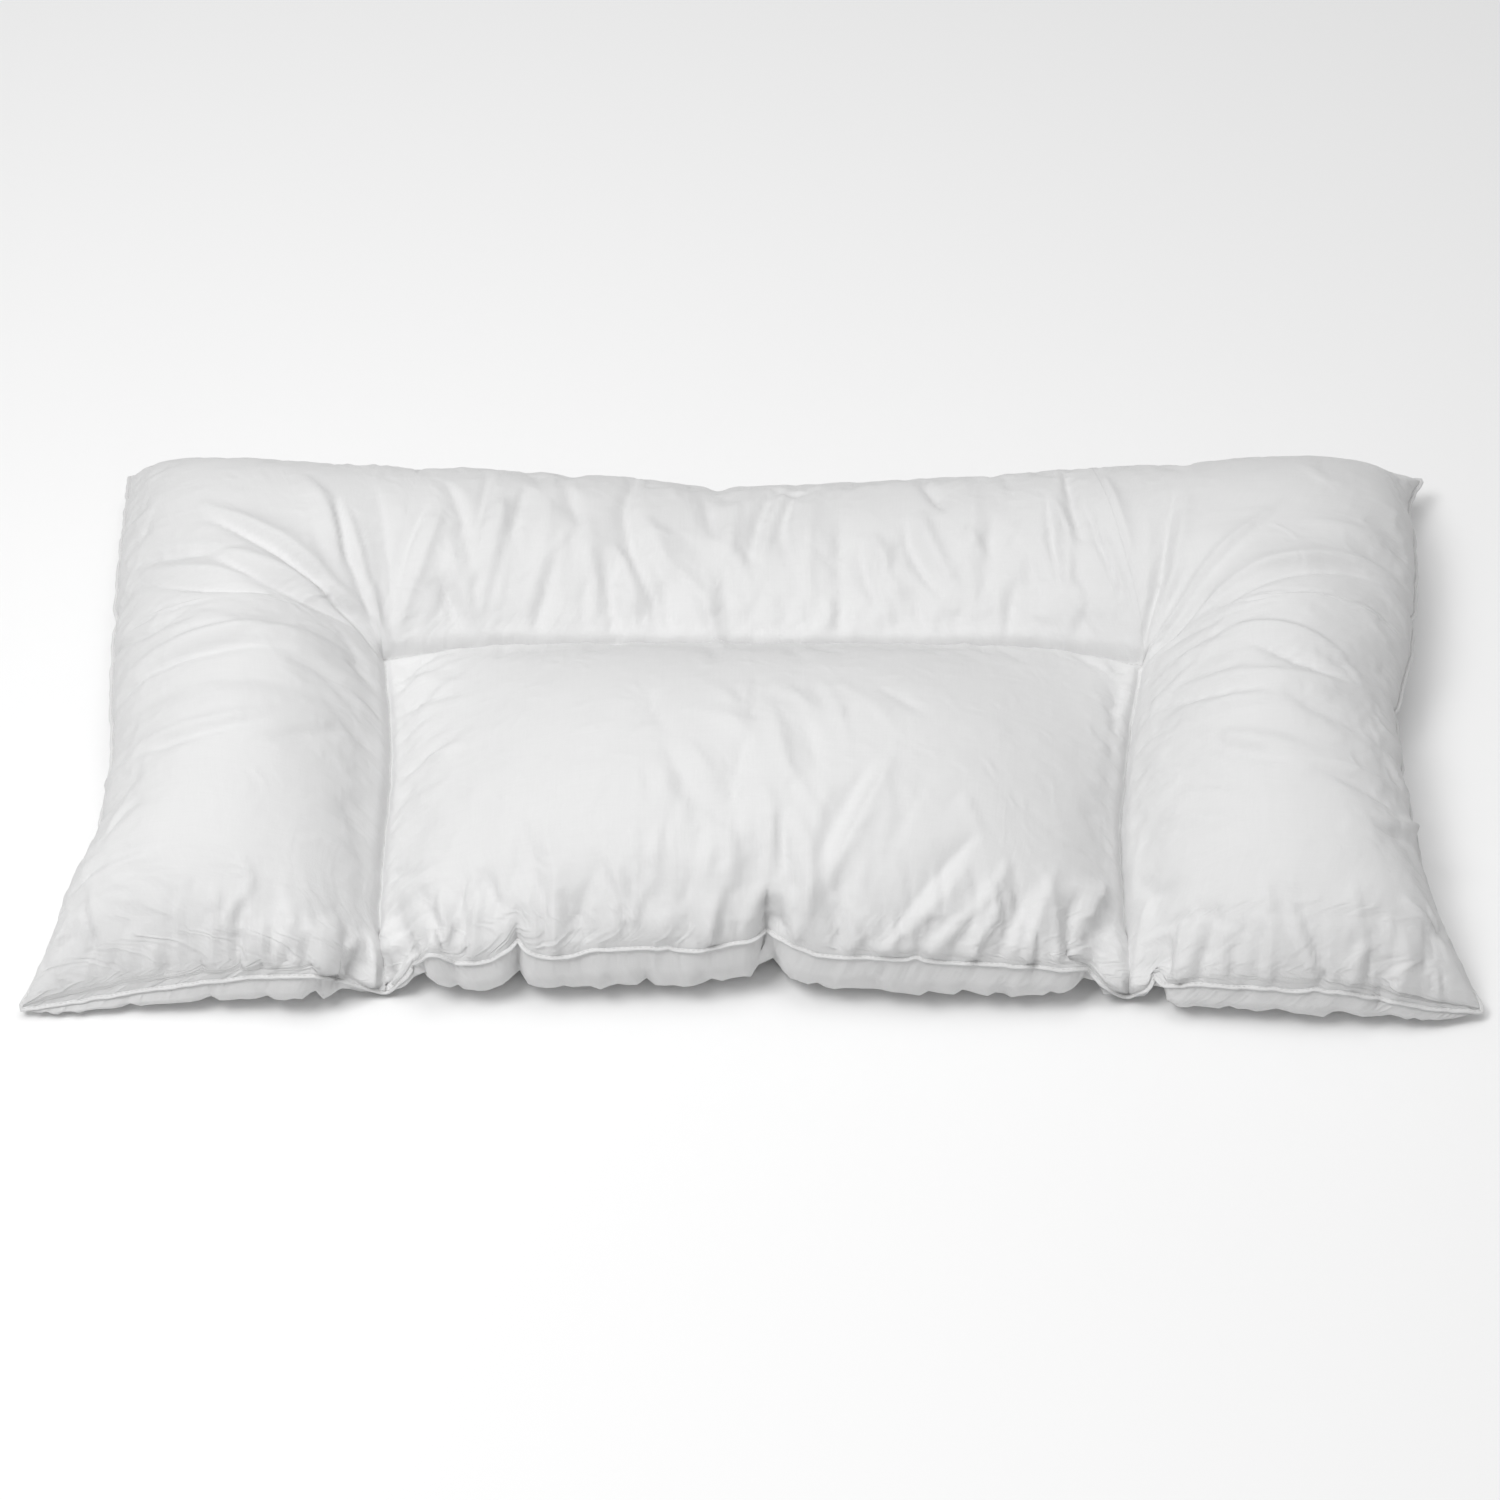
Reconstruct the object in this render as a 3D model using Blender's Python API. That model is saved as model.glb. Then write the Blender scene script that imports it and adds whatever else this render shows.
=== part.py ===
"""A neck-support pillow, 80 x 40 cm, filled with synthetic fibre and lying on its back.

Two cotton panels are sewn together round their edge with a thin corded piping, and sewn
through to each other along a U. The U parts a raised bolster, which runs down the left
arm, along the back and down the right arm, from the softer centre pad.

Lengths are in metres, +X runs across the pillow, +Y towards its back edge and +Z up.
The origin is on the surface it rests on, under the middle of the pillow. Places on the
flat, unfilled panels are called flat_x and flat_y, with the same origin and directions.
"""

import bmesh
import bpy
import math
import numpy as np
from collections import namedtuple
from functools import lru_cache
from mathutils import Vector

MM = 0.001

# Cutting sizes of the flat panels
FLAT_WIDTH = 800 * MM
FLAT_DEPTH = 400 * MM
ARM_WIDTH = 200 * MM
BACK_DEPTH = 170 * MM

# How far from each seam the filling reaches its full height on top, and touches down below
Reach = namedtuple("Reach", "arm back front pad_side pad_back")
UPPER_REACH = Reach(100 * MM, 85 * MM, 95 * MM, 150 * MM, 115 * MM)
LOWER_REACH = Reach(34 * MM, 30 * MM, 14 * MM, 46 * MM, 40 * MM)
CROWN_BLEND = 60 * MM
DRIFT_POWER = 1.5

SEAM_THICKNESS = 1.6 * MM
PIPING_RADIUS = 1.8 * MM
PIECE_GAP = 0.3 * MM

# Grid lines across each chamber, and how strongly they gather towards the seams
ARM_COLUMNS = 18
PAD_COLUMNS = 38
PAD_ROWS = 22
BACK_ROWS = 16
GATHER = 0.55

# Puckers fade out this close to a seam, where both panels are held together
SEAM_HOLD = 9 * MM
NORMAL_STEP = 1 * MM
FOLD_STEPS = 14
FOLD_FADE = 0.08

MERGE_DISTANCE = 0.01 * MM
FLAT_ANGLE = math.radians(0.2)

COVER_COLOUR = (0.86, 0.86, 0.85, 1.0)
PIPING_COLOUR = (0.90, 0.90, 0.89, 1.0)
COTTON_ROUGHNESS = 0.85

HALF_WIDTH = FLAT_WIDTH / 2
HALF_DEPTH = FLAT_DEPTH / 2
PAD_HALF_WIDTH = HALF_WIDTH - ARM_WIDTH
PAD_BACK = HALF_DEPTH - BACK_DEPTH

# Where the seams lie once the pillow is filled, in millimetres: a place along the flat
# seam, then the filled place across, deep and high
SeamPoint = namedtuple("SeamPoint", "flat across deep high")

FRONT_EDGE = [SeamPoint(*row) for row in (
    (-400, -370, -184, 6), (-365, -338, -181, 11), (-330, -306, -180, 18),
    (-285, -266, -180, 25), (-240, -227, -182, 30), (-217, -207, -179, 26),
    (-200, -186, -172, 6), (-184, -169, -171, 24), (-165, -152, -174, 35),
    (-115, -108, -175, 42), (-50, -46, -174, 43), (-8, -6, -170, 43),
    (8, 9, -163, 40), (25, 25, -172, 42), (75, 71, -177, 40), (130, 126, -179, 37),
    (168, 163, -180, 31), (186, 180, -177, 20), (200, 194, -175, 5),
    (215, 206, -180, 23), (250, 236, -186, 27), (300, 281, -190, 25),
    (350, 328, -191, 18), (380, 354, -190, 12), (400, 371, -185, 8))]

BACK_EDGE = [SeamPoint(*row) for row in (
    (-400, -358, 195, 20), (-360, -329, 186, 28), (-300, -275, 179, 33),
    (-200, -186, 175, 34), (-100, -92, 174, 34), (-20, -18, 168, 32), (60, 59, 171, 33),
    (160, 153, 174, 34), (260, 247, 176, 35), (340, 322, 181, 33),
    (385, 366, 188, 25), (400, 387, 192, 20))]

LEFT_EDGE = [SeamPoint(*row) for row in (
    (-200, -370, -184, 6), (-168, -357, -156, 20), (-140, -350, -132, 30),
    (-100, -339, -97, 37), (-50, -336, -50, 40), (5, -342, 2, 40), (100, -350, 97, 38),
    (165, -354, 160, 30), (200, -358, 195, 20))]

RIGHT_EDGE = [SeamPoint(*row) for row in (
    (-200, 371, -185, 8), (-172, 358, -158, 20), (-140, 348, -129, 31),
    (-100, 344, -97, 38), (-50, 343, -49, 40), (-12, 345, -12, 40), (35, 358, 34, 40),
    (80, 366, 78, 40), (130, 372, 126, 36), (166, 374, 159, 30), (200, 387, 192, 20))]

LEFT_SEAM = [SeamPoint(*row) for row in (
    (-200, -186, -172, 6), (-180, -188, -157, 12), (-155, -191, -138, 19),
    (-120, -191, -109, 25), (-60, -190, -58, 30), (-10, -193, -10, 34), (30, -199, 33, 36))]

RIGHT_SEAM = [SeamPoint(*row) for row in (
    (-200, 194, -175, 5), (-178, 194, -156, 13), (-150, 193, -133, 20),
    (-110, 193, -99, 27), (-60, 198, -55, 31), (-10, 205, -10, 34), (30, 213, 29, 36))]

BACK_SEAM = [SeamPoint(*row) for row in (
    (-200, -199, 33, 36), (-130, -127, 38, 39), (-20, -18, 38, 38), (80, 80, 37, 39),
    (150, 154, 36, 39), (200, 213, 29, 36))]

# Filled height of the crown over places on the flat panels, in millimetres
Crown = namedtuple("Crown", "flat_x flat_y high")

BOLSTER_CROWNS = [Crown(*row) for row in (
    (-300, -130, 84), (-300, -30, 94), (-305, 60, 90), (-290, 115, 83), (-180, 115, 78),
    (-95, 115, 70), (-20, 115, 60), (60, 115, 62), (140, 115, 69), (220, 115, 81),
    (300, 112, 87), (300, 40, 93), (300, -40, 95), (300, -130, 83))]

PAD_CROWNS = [Crown(*row) for row in (
    (-110, -70, 90), (-40, -80, 92), (40, -85, 90), (115, -75, 93))]

# Main folds and puckers, in millimetres on the flat panel: where a fold starts and ends,
# how far its middle bows to its left, its half width, and its lift, or its depth below zero
Fold = namedtuple("Fold", "start_x start_y end_x end_y bow half_width lift")

FOLDS = [Fold(*row) for row in (
    # left arm
    (-335, 110, -200, 31, 2, 7, 5), (-330, 98, -203, 26, 1, 7, -5),
    (-325, 64, -222, 32, -4, 7, -4), (-394, -14, -260, -7, 0, 7, -4),
    # left arm front
    (-323, -191, -316, -200, 0, 7, -4), (-304, -192, -296, -200, 0, 7, -4),
    (-281, -191, -274, -200, 0, 7, -4.5), (-267, -179, -271, -199, 2, 7, 4),
    (-238, -189, -225, -200, -1, 7, -8), (-221, -179, -211, -200, -1, 9, 6),
    # pad front
    (-181, -183, -196, -200, -2, 8, -9), (-191, -158, -198, -193, -2, 7, 4),
    (-176, -158, -162, -200, -3, 7, -5), (-154, -170, -152, -200, -1, 7, -6),
    (-144, -162, -127, -198, -1, 7, -5), (-110, -141, -104, -199, 1, 7, 4),
    (-86, -164, -66, -198, 0, 7, -4), (-11, -149, -22, -198, 5, 11, 6),
    (-1, -94, -5, -170, -5, 10, -5), (5, -134, 2, -196, 6, 8, 4.5),
    (16, -150, 25, -197, -2, 7, -6), (23, -145, 25, -199, 8, 8, 5.5),
    (12, -189, 8, -200, 1, 8, -8), (64, -111, 36, -172, -1, 10, -4.5),
    (75, -105, 39, -184, 2, 7, 4.5), (120, -148, 79, -195, 1, 7, -4.5),
    (112, -169, 68, -200, 6, 7, 4.5), (136, -159, 95, -199, 7, 7, 4.5),
    (129, -182, 107, -198, 1, 7, -4), (131, -179, 117, -200, 4, 7, 4.5),
    (160, -155, 147, -200, 0, 7, 4.5), (173, -166, 177, -200, -5, 7, -9),
    (189, -147, 177, -181, -2, 7, 5), (190, -179, 182, -200, 4, 7, 5),
    # back
    (-270, 144, -232, 69, 3, 9, 4.5), (-247, 122, -209, 42, -4, 7, -5),
    (-239, 116, -197, 33, -3, 8, 5), (-188, 120, -196, 43, -2, 7, -5),
    (-180, 115, -192, 35, 2, 8, 5), (-181, 147, -158, 69, 2, 7, -7),
    (-175, 67, -159, 35, -2, 7, -4), (-171, 83, -150, 35, -2, 7, 4),
    (-155, 159, -156, 72, -1, 7, -4), (-108, 149, -100, 102, -1, 7, -4),
    (-70, 162, -55, 47, -10, 9, -7), (-84, 83, -73, 13, 0, 7, -4),
    (-78, 88, -65, 33, 3, 8, 4.5), (-61, 115, -42, 60, -3, 9, 4.5),
    (-47, 63, -44, 14, -1, 8, -4), (-43, 72, -19, 8, 6, 7, 4.5),
    (-29, 148, -22, 94, 0, 9, -4), (11, 157, -3, 73, -1, 8, -6), (20, 160, 4, 76, 0, 7, 4),
    (27, 157, 21, 73, -6, 7, -5), (61, 93, 71, 46, -2, 7, -5), (68, 103, 81, 51, -1, 7, 4),
    (87, 115, 105, 50, -6, 7, -6), (97, 122, 113, 56, -4, 8, 4.5),
    (99, 165, 110, 121, 1, 7, -5), (146, 64, 137, 33, 0, 7, -4),
    (168, 131, 165, 58, -1, 7, -5), (173, 130, 168, 55, 4, 7, 4.5),
    (182, 165, 178, 88, 0, 7, -6), (187, 127, 194, 45, -2, 7, -5),
    (190, 106, 196, 45, -1, 7, 4), (240, 128, 198, 26, 2, 7, -8),
    (248, 127, 203, 31, 6, 7, 5),
    # right arm
    (198, 26, 306, 111, -2, 7, 4), (229, 30, 390, 63, 13, 7, 5), (257, 29, 393, 56, 8, 7, -4),
    (209, -4, 358, -12, 13, 7, 5), (276, -4, 355, -25, -4, 7, -4),
    (209, -25, 291, -43, -5, 7, -4), (242, -72, 303, -92, -3, 7, -4),
    (360, -117, 399, -99, -7, 7, 4), (358, -169, 382, -177, 1, 7, 4),
    # right arm front
    (211, -158, 201, -193, -3, 8, 6), (214, -182, 204, -197, 0, 7, -7),
    (216, -178, 218, -196, 5, 7, 5), (224, -195, 221, -200, 0, 7, -4),
    (273, -182, 270, -199, -1, 7, -4), (278, -180, 275, -199, -1, 7, 4.5),
    (292, -173, 309, -199, -2, 7, -4.5), (333, -188, 323, -199, 0, 7, 4))]


def read_seam(rows, flat):
    """Return the filled place on a seam, on a smooth curve through its rows."""
    places = np.array([row.flat for row in rows]) * MM
    values = np.array([(row.across, row.deep, row.high) for row in rows]) * MM
    steps = np.diff(places)
    slopes = np.diff(values, axis=0) / steps[:, None]
    tangents = np.vstack((slopes[:1], (slopes[1:] + slopes[:-1]) / 2, slopes[-1:]))
    turning = slopes[1:] * slopes[:-1] <= 0
    tangents[1:-1][turning] = 0
    index = int(np.clip(np.searchsorted(places, flat) - 1, 0, len(steps) - 1))
    along = (flat - places[index]) / steps[index]
    start = values[index] * (1 + 2 * along) * (1 - along) ** 2
    end = values[index + 1] * along ** 2 * (3 - 2 * along)
    leave = tangents[index] * steps[index] * along * (1 - along) ** 2
    arrive = tangents[index + 1] * steps[index] * along ** 2 * (along - 1)
    return start + end + leave + arrive


def rise(distance, reach):
    """Return the square of how full a chamber is at a distance from one of its seams."""
    return 1 - (1 - min(max(distance / reach, 0), 1)) ** 2


def over_pad(flat_x, flat_y):
    """Tell whether a place on the flat panels belongs to the centre pad."""
    return abs(flat_x) <= PAD_HALF_WIDTH and flat_y <= PAD_BACK


def crown_height(flat_x, flat_y):
    """Blend the crown heights of the chamber by their nearness."""
    crowns = PAD_CROWNS if over_pad(flat_x, flat_y) else BOLSTER_CROWNS
    total = 0
    weights = 0
    for crown in crowns:
        apart = math.hypot(flat_x - crown.flat_x * MM, flat_y - crown.flat_y * MM)
        weight = 1 / (apart ** 2 + CROWN_BLEND ** 2) ** 2
        total += weight * crown.high * MM
        weights += weight
    return total / weights


def nearby_seams(flat_x, flat_y):
    """List the seams round a place: its distance to each, and how each has drifted."""
    pad_x = min(max(flat_x, -PAD_HALF_WIDTH), PAD_HALF_WIDTH)
    pad_y = min(flat_y, PAD_BACK)
    seams = [(HALF_DEPTH + flat_y, FRONT_EDGE, flat_x, (flat_x, -HALF_DEPTH))]
    if over_pad(flat_x, flat_y):
        seams += [
            (flat_x + PAD_HALF_WIDTH, LEFT_SEAM, flat_y, (-PAD_HALF_WIDTH, flat_y)),
            (PAD_HALF_WIDTH - flat_x, RIGHT_SEAM, flat_y, (PAD_HALF_WIDTH, flat_y)),
            (PAD_BACK - flat_y, BACK_SEAM, flat_x, (flat_x, PAD_BACK))]
    else:
        side_edge, side_seam = (LEFT_EDGE, LEFT_SEAM) if flat_x < 0 else (RIGHT_EDGE, RIGHT_SEAM)
        side_x = math.copysign(HALF_WIDTH, flat_x)
        to_pad = math.hypot(flat_x - pad_x, flat_y - pad_y)
        seams += [
            (HALF_WIDTH - abs(flat_x), side_edge, flat_y, (side_x, flat_y)),
            (HALF_DEPTH - flat_y, BACK_EDGE, flat_x, (flat_x, HALF_DEPTH))]
        if abs(flat_x) > PAD_HALF_WIDTH:
            seams.append((to_pad, side_seam, pad_y, (pad_x, pad_y)))
        else:
            seams.append((to_pad, BACK_SEAM, pad_x, (pad_x, pad_y)))
    drifts = []
    for distance, rows, along, flat_place in seams:
        drift = read_seam(rows, along) - np.array((*flat_place, 0))
        drifts.append((max(distance, 0), drift))
    return drifts


def fullness(flat_x, flat_y, reach):
    """Return from 0 at a seam to 1 where the filling has risen to its full height."""
    front = rise(HALF_DEPTH + flat_y, reach.front)
    if over_pad(flat_x, flat_y):
        left = rise(flat_x + PAD_HALF_WIDTH, reach.pad_side)
        right = rise(PAD_HALF_WIDTH - flat_x, reach.pad_side)
        back = rise(PAD_BACK - flat_y, reach.pad_back)
        return math.sqrt(front * left * right * back)
    beside = max(abs(flat_x) - PAD_HALF_WIDTH, 0) / reach.arm
    behind = max(flat_y - PAD_BACK, 0) / reach.back
    side = rise(HALF_WIDTH - abs(flat_x), reach.arm)
    back = rise(HALF_DEPTH - flat_y, reach.back)
    return math.sqrt(front * side * back * rise(math.hypot(beside, behind), 1))


@lru_cache(maxsize=None)
def fold_line(fold):
    """Return points along a fold on the flat panel, as one bowed line."""
    start = np.array((fold.start_x, fold.start_y)) * MM
    end = np.array((fold.end_x, fold.end_y)) * MM
    run = end - start
    sideways = np.array((-run[1], run[0])) / np.linalg.norm(run)
    middle = (start + end) / 2 + 2 * fold.bow * MM * sideways
    along = np.linspace(0, 1, FOLD_STEPS)[:, None]
    return start * (1 - along) ** 2 + 2 * middle * along * (1 - along) + end * along ** 2


def fold_lift(flat_x, flat_y):
    """Return how far the folds lift the cover, or sink it below zero, at a flat place."""
    lift = 0
    for fold in FOLDS:
        reach = np.linalg.norm(fold_line(fold) - (flat_x, flat_y), axis=1)
        nearest = int(np.argmin(reach))
        closeness = math.exp(-(reach[nearest] / (fold.half_width * MM)) ** 2)
        along = nearest / (FOLD_STEPS - 1)
        fade = math.sin(math.pi * (FOLD_FADE + (1 - 2 * FOLD_FADE) * along))
        lift += fold.lift * MM * closeness * fade
    return lift


def smooth_place(flat_x, flat_y, upper):
    """Return where a place on the upper or lower panel lies once filled, without folds."""
    drifts = nearby_seams(flat_x, flat_y)
    nearest, seam_drift = min(drifts, key=lambda item: item[0])
    flat_place = np.array((flat_x, flat_y, 0))
    if HALF_WIDTH - abs(flat_x) < PIECE_GAP or HALF_DEPTH - abs(flat_y) < PIECE_GAP:
        return flat_place + seam_drift
    if nearest < PIECE_GAP:
        half_seam = SEAM_THICKNESS / 2 if upper else -SEAM_THICKNESS / 2
        return flat_place + seam_drift + np.array((0, 0, half_seam))
    weights = np.array([distance ** -DRIFT_POWER for distance, drift in drifts])
    moved = np.array([drift for distance, drift in drifts])
    place = flat_place + (weights[:, None] * moved).sum(axis=0) / weights.sum()
    if upper:
        crown = crown_height(flat_x, flat_y)
        place[2] += (crown - place[2]) * fullness(flat_x, flat_y, UPPER_REACH)
    else:
        place[2] *= 1 - fullness(flat_x, flat_y, LOWER_REACH)
    return place


def filled_place(flat_x, flat_y, upper):
    """Return where a place on a panel lies on the filled pillow, with its folds."""
    place = smooth_place(flat_x, flat_y, upper)
    nearest = min(distance for distance, drift in nearby_seams(flat_x, flat_y))
    if not upper or nearest < NORMAL_STEP:
        return place
    to_right = smooth_place(flat_x + NORMAL_STEP, flat_y, upper) - place
    to_back = smooth_place(flat_x, flat_y + NORMAL_STEP, upper) - place
    outward = np.cross(to_right, to_back)
    hold = 1 - math.exp(-(nearest / SEAM_HOLD) ** 2)
    return place + outward / np.linalg.norm(outward) * fold_lift(flat_x, flat_y) * hold


def gathered_lines(start, end, count):
    """Return grid lines from start to end, closer together near both ends."""
    lines = []
    for index in range(count):
        along = index / count
        eased = (1 - math.cos(math.pi * along)) / 2
        lines.append(start + (end - start) * ((1 - GATHER) * along + GATHER * eased))
    return lines


def panel_lines():
    """Return the columns and rows of the panels, with a line on each sewn seam."""
    columns = gathered_lines(-HALF_WIDTH, -PAD_HALF_WIDTH, ARM_COLUMNS)
    columns += gathered_lines(-PAD_HALF_WIDTH, PAD_HALF_WIDTH, PAD_COLUMNS)
    columns += gathered_lines(PAD_HALF_WIDTH, HALF_WIDTH, ARM_COLUMNS)
    columns.append(HALF_WIDTH)
    rows = gathered_lines(-HALF_DEPTH, PAD_BACK, PAD_ROWS)
    rows += gathered_lines(PAD_BACK, HALF_DEPTH, BACK_ROWS)
    rows.append(HALF_DEPTH)
    return columns, rows


def add_panel(cover, columns, rows, upper):
    """Lay one panel as a grid, and move each of its points to its filled place."""
    grid = bmesh.ops.create_grid(
        cover, x_segments=len(columns) - 1, y_segments=len(rows) - 1, size=1)
    for point in grid["verts"]:
        column = round((point.co.x + 1) / 2 * (len(columns) - 1))
        row = round((point.co.y + 1) / 2 * (len(rows) - 1))
        point.co = filled_place(columns[column], rows[row], upper)
    if not upper:
        faces = {face for point in grid["verts"] for face in point.link_faces}
        bmesh.ops.reverse_faces(cover, faces=list(faces))


def cotton(name, colour):
    """Return the matt material of a plain woven cotton."""
    material = bpy.data.materials.new(name)
    material.use_nodes = True
    shader = material.node_tree.nodes["Principled BSDF"]
    shader.inputs["Base Color"].default_value = colour
    shader.inputs["Roughness"].default_value = COTTON_ROUGHNESS
    shader.inputs["Metallic"].default_value = 0
    return material


def make_pillow_body(collection):
    """Make the filled pillow: both panels, closed round the edge and sewn along the U."""
    columns, rows = panel_lines()
    cover = bmesh.new()
    add_panel(cover, columns, rows, upper=True)
    add_panel(cover, columns, rows, upper=False)
    bmesh.ops.remove_doubles(cover, verts=cover.verts, dist=MERGE_DISTANCE)
    bmesh.ops.dissolve_limit(
        cover, angle_limit=FLAT_ANGLE, verts=cover.verts, edges=cover.edges)
    bmesh.ops.triangulate(cover, faces=cover.faces)
    mesh = bpy.data.meshes.new("pillow_body")
    cover.to_mesh(mesh)
    cover.free()
    mesh.shade_smooth()
    mesh.materials.append(cotton("pillow_cotton", COVER_COLOUR))
    pillow = bpy.data.objects.new("pillow_body", mesh)
    collection.objects.link(pillow)
    return pillow


def edge_loop():
    """Return the filled places round the sewn edge, as a closed loop seen from above."""
    columns, rows = panel_lines()
    flat = [(across, -HALF_DEPTH) for across in columns[:-1]]
    flat += [(HALF_WIDTH, deep) for deep in rows[:-1]]
    flat += [(across, HALF_DEPTH) for across in columns[:0:-1]]
    flat += [(-HALF_WIDTH, deep) for deep in rows[:0:-1]]
    return [filled_place(across, deep, upper=True) for across, deep in flat]


def make_edge_piping(collection):
    """Make the thin cord that is sewn round the edge, just outside the panels."""
    loop = edge_loop()
    stand_off = PIPING_RADIUS + PIECE_GAP
    curve = bpy.data.curves.new("edge_piping", "CURVE")
    curve.dimensions = "3D"
    curve.bevel_depth = PIPING_RADIUS
    curve.bevel_resolution = 2
    spline = curve.splines.new("POLY")
    spline.points.add(len(loop) - 1)
    spline.use_cyclic_u = True
    for index, place in enumerate(loop):
        along = loop[(index + 1) % len(loop)] - loop[index - 1]
        outward = np.array((along[1], -along[0], 0)) / math.hypot(along[0], along[1])
        spline.points[index].co = (*(place + outward * stand_off), 1)
    curve.materials.append(cotton("piping_cotton", PIPING_COLOUR))
    piping = bpy.data.objects.new("edge_piping", curve)
    collection.objects.link(piping)
    return piping


def stand_on_origin(pieces):
    """Move the pieces so that the middle of their box is over the origin."""
    bpy.context.view_layer.update()
    corners = np.array([
        piece.matrix_world @ Vector(corner) for piece in pieces for corner in piece.bound_box])
    middle = (corners.min(axis=0) + corners.max(axis=0)) / 2
    for piece in pieces:
        piece.location.x -= middle[0]
        piece.location.y -= middle[1]


def main():
    """Clear the scene and build the pillow."""
    for old in list(bpy.data.objects):
        bpy.data.objects.remove(old)
    collection = bpy.data.collections.new("neck_support_pillow")
    bpy.context.scene.collection.children.link(collection)
    pieces = [make_pillow_body(collection), make_edge_piping(collection)]
    stand_on_origin(pieces)


main()
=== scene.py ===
"""A neck-support pillow of white cotton percale, 80 x 40 cm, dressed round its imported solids.

Two panels are sewn together round their edge with a thin cotton piping, and sewn through
to each other along a U. The U parts a raised bolster, which runs down the left arm, along
the back and down the right arm, from the softer centre pad. The polyester filling presses
the cover out, and the seams gather it in puckers.

Lengths are in metres, +X runs across the pillow, +Y towards its back edge and +Z up.
Places on the flat, unfilled panels are called flat, with X and Y in the same directions.
"""

import bpy
import math
import numpy as np
from bpy.props import FloatProperty, FloatVectorProperty, IntProperty, PointerProperty
from collections import namedtuple
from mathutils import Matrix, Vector


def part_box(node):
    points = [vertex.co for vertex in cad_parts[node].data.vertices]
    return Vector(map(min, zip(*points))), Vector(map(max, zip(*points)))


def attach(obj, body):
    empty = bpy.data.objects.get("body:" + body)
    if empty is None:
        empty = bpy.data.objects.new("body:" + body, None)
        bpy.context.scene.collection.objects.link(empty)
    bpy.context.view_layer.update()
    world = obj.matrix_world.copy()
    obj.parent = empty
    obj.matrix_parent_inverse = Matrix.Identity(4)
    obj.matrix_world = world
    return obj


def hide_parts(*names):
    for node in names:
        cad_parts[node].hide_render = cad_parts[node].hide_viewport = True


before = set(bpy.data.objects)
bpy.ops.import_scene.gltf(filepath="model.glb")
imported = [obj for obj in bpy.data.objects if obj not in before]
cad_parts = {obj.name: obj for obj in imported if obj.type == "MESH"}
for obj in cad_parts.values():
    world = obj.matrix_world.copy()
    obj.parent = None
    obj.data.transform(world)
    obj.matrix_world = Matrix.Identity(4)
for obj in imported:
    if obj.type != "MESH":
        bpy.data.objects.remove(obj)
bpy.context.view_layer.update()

bl_info = {
    "name": "Neck-Support Pillow",
    "version": (1, 0, 0),
    "blender": (4, 5, 0),
    "location": "3D View > Sidebar > Pillow",
    "description": "Sews, fills and creases a neck-support pillow and sets it in a studio",
    "category": "Object",
}

MM = 0.001

# Half the sizes of the flat panels, and where the sewn U runs on them
HALF_WIDTH = 400 * MM
HALF_DEPTH = 200 * MM
PAD_HALF_WIDTH = 200 * MM
PAD_BACK = 30 * MM

# How far from each seam the filling reaches its full height on top, and touches down below
Reach = namedtuple("Reach", "arm back front pad_side pad_back")
UPPER_REACH = Reach(100 * MM, 85 * MM, 95 * MM, 150 * MM, 115 * MM)
LOWER_REACH = Reach(34 * MM, 30 * MM, 20 * MM, 46 * MM, 40 * MM)

# How far a crown's height spreads, and how fast a seam's pull weakens with distance
CROWN_BLEND = 60 * MM
DRIFT_POWER = 1.5

# How steeply the filling rises: 0.5 is upright at the seam, and 1 is an open slope
EDGE_SLOPE = 0.5
CHANNEL_SLOPE = 0.72

# How far apart the panels stay along the sewn U
SEAM_THICKNESS = 1.6 * MM

# How far the filling swells over the sewn U on top, and where that starts and fades out, and
# how far the lower panel swells forward below the front edge
SHOULDER_HEIGHT = 4 * MM
SHOULDER_START = 2.5 * MM
SHOULDER_REACH = 30 * MM
LOWER_BULGE = 6 * MM

# Grid lines of the upper panel across each chamber, all even because the lower panel and
# the settling cloth have half as many, and how strongly they crowd towards the seams
ARM_COLUMNS = 100
PAD_COLUMNS = 180
PAD_ROWS = 112
BACK_ROWS = 84
ARM_CROWDING = 0.8
PAD_CROWDING = 0.3
ROW_CROWDING = 0.88

# A place nearer than this lies on a seam
ON_SEAM = 0.01 * MM

# How near a seam the folds are held down, and how near the edge a fold's end stays open
SEAM_HOLD = 0.5 * MM
OPEN_END = 3 * MM

# Steps along a fold, where on a half wave its lift starts, how wide its tips are beside its
# middle, how many half widths it reaches, and how much wider it is on the side it leans to
FOLD_STEPS = 14
FOLD_FADE = 0.04
FOLD_TIP = 0.35
FOLD_REACH = 4
FOLD_LEAN = 1.5

# How rounded the folds are: 1 is a sharp crease, and 2 is a soft swell
GROOVE_SHARPNESS = 1.15
RIDGE_SHARPNESS = 1.3

# The most that folds together lift or sink the cover
HIGHEST_RIDGE = 7 * MM
DEEPEST_GROOVE = 8 * MM

# Lowest and highest shares that are drawn at random in a row of gathers: of the spacing
# before the first and the next one, of the length, of the length that lies between the seam
# and the start, where less than 0 counts as 0, of the depth and of the width
FIRST_STEP = (0.3, 1)
NEXT_STEP = (0.4, 1.7)
GATHER_LENGTHS = (0.4, 1.5)
GATHER_STARTS = (-0.4, 0.3)
GATHER_DEPTHS = (0.4, 1.2)
GATHER_WIDTHS = (0.7, 1.4)

# How much gathers bow to either side, as a share of their length
GATHER_BOW = 0.06

# Seeds of the random draws
LEAN_SEED = 5
UPPER_SEED = 11
LOWER_SEED = 12
SWELL_SEED = 71
SWAY_SEED = 72

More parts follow.
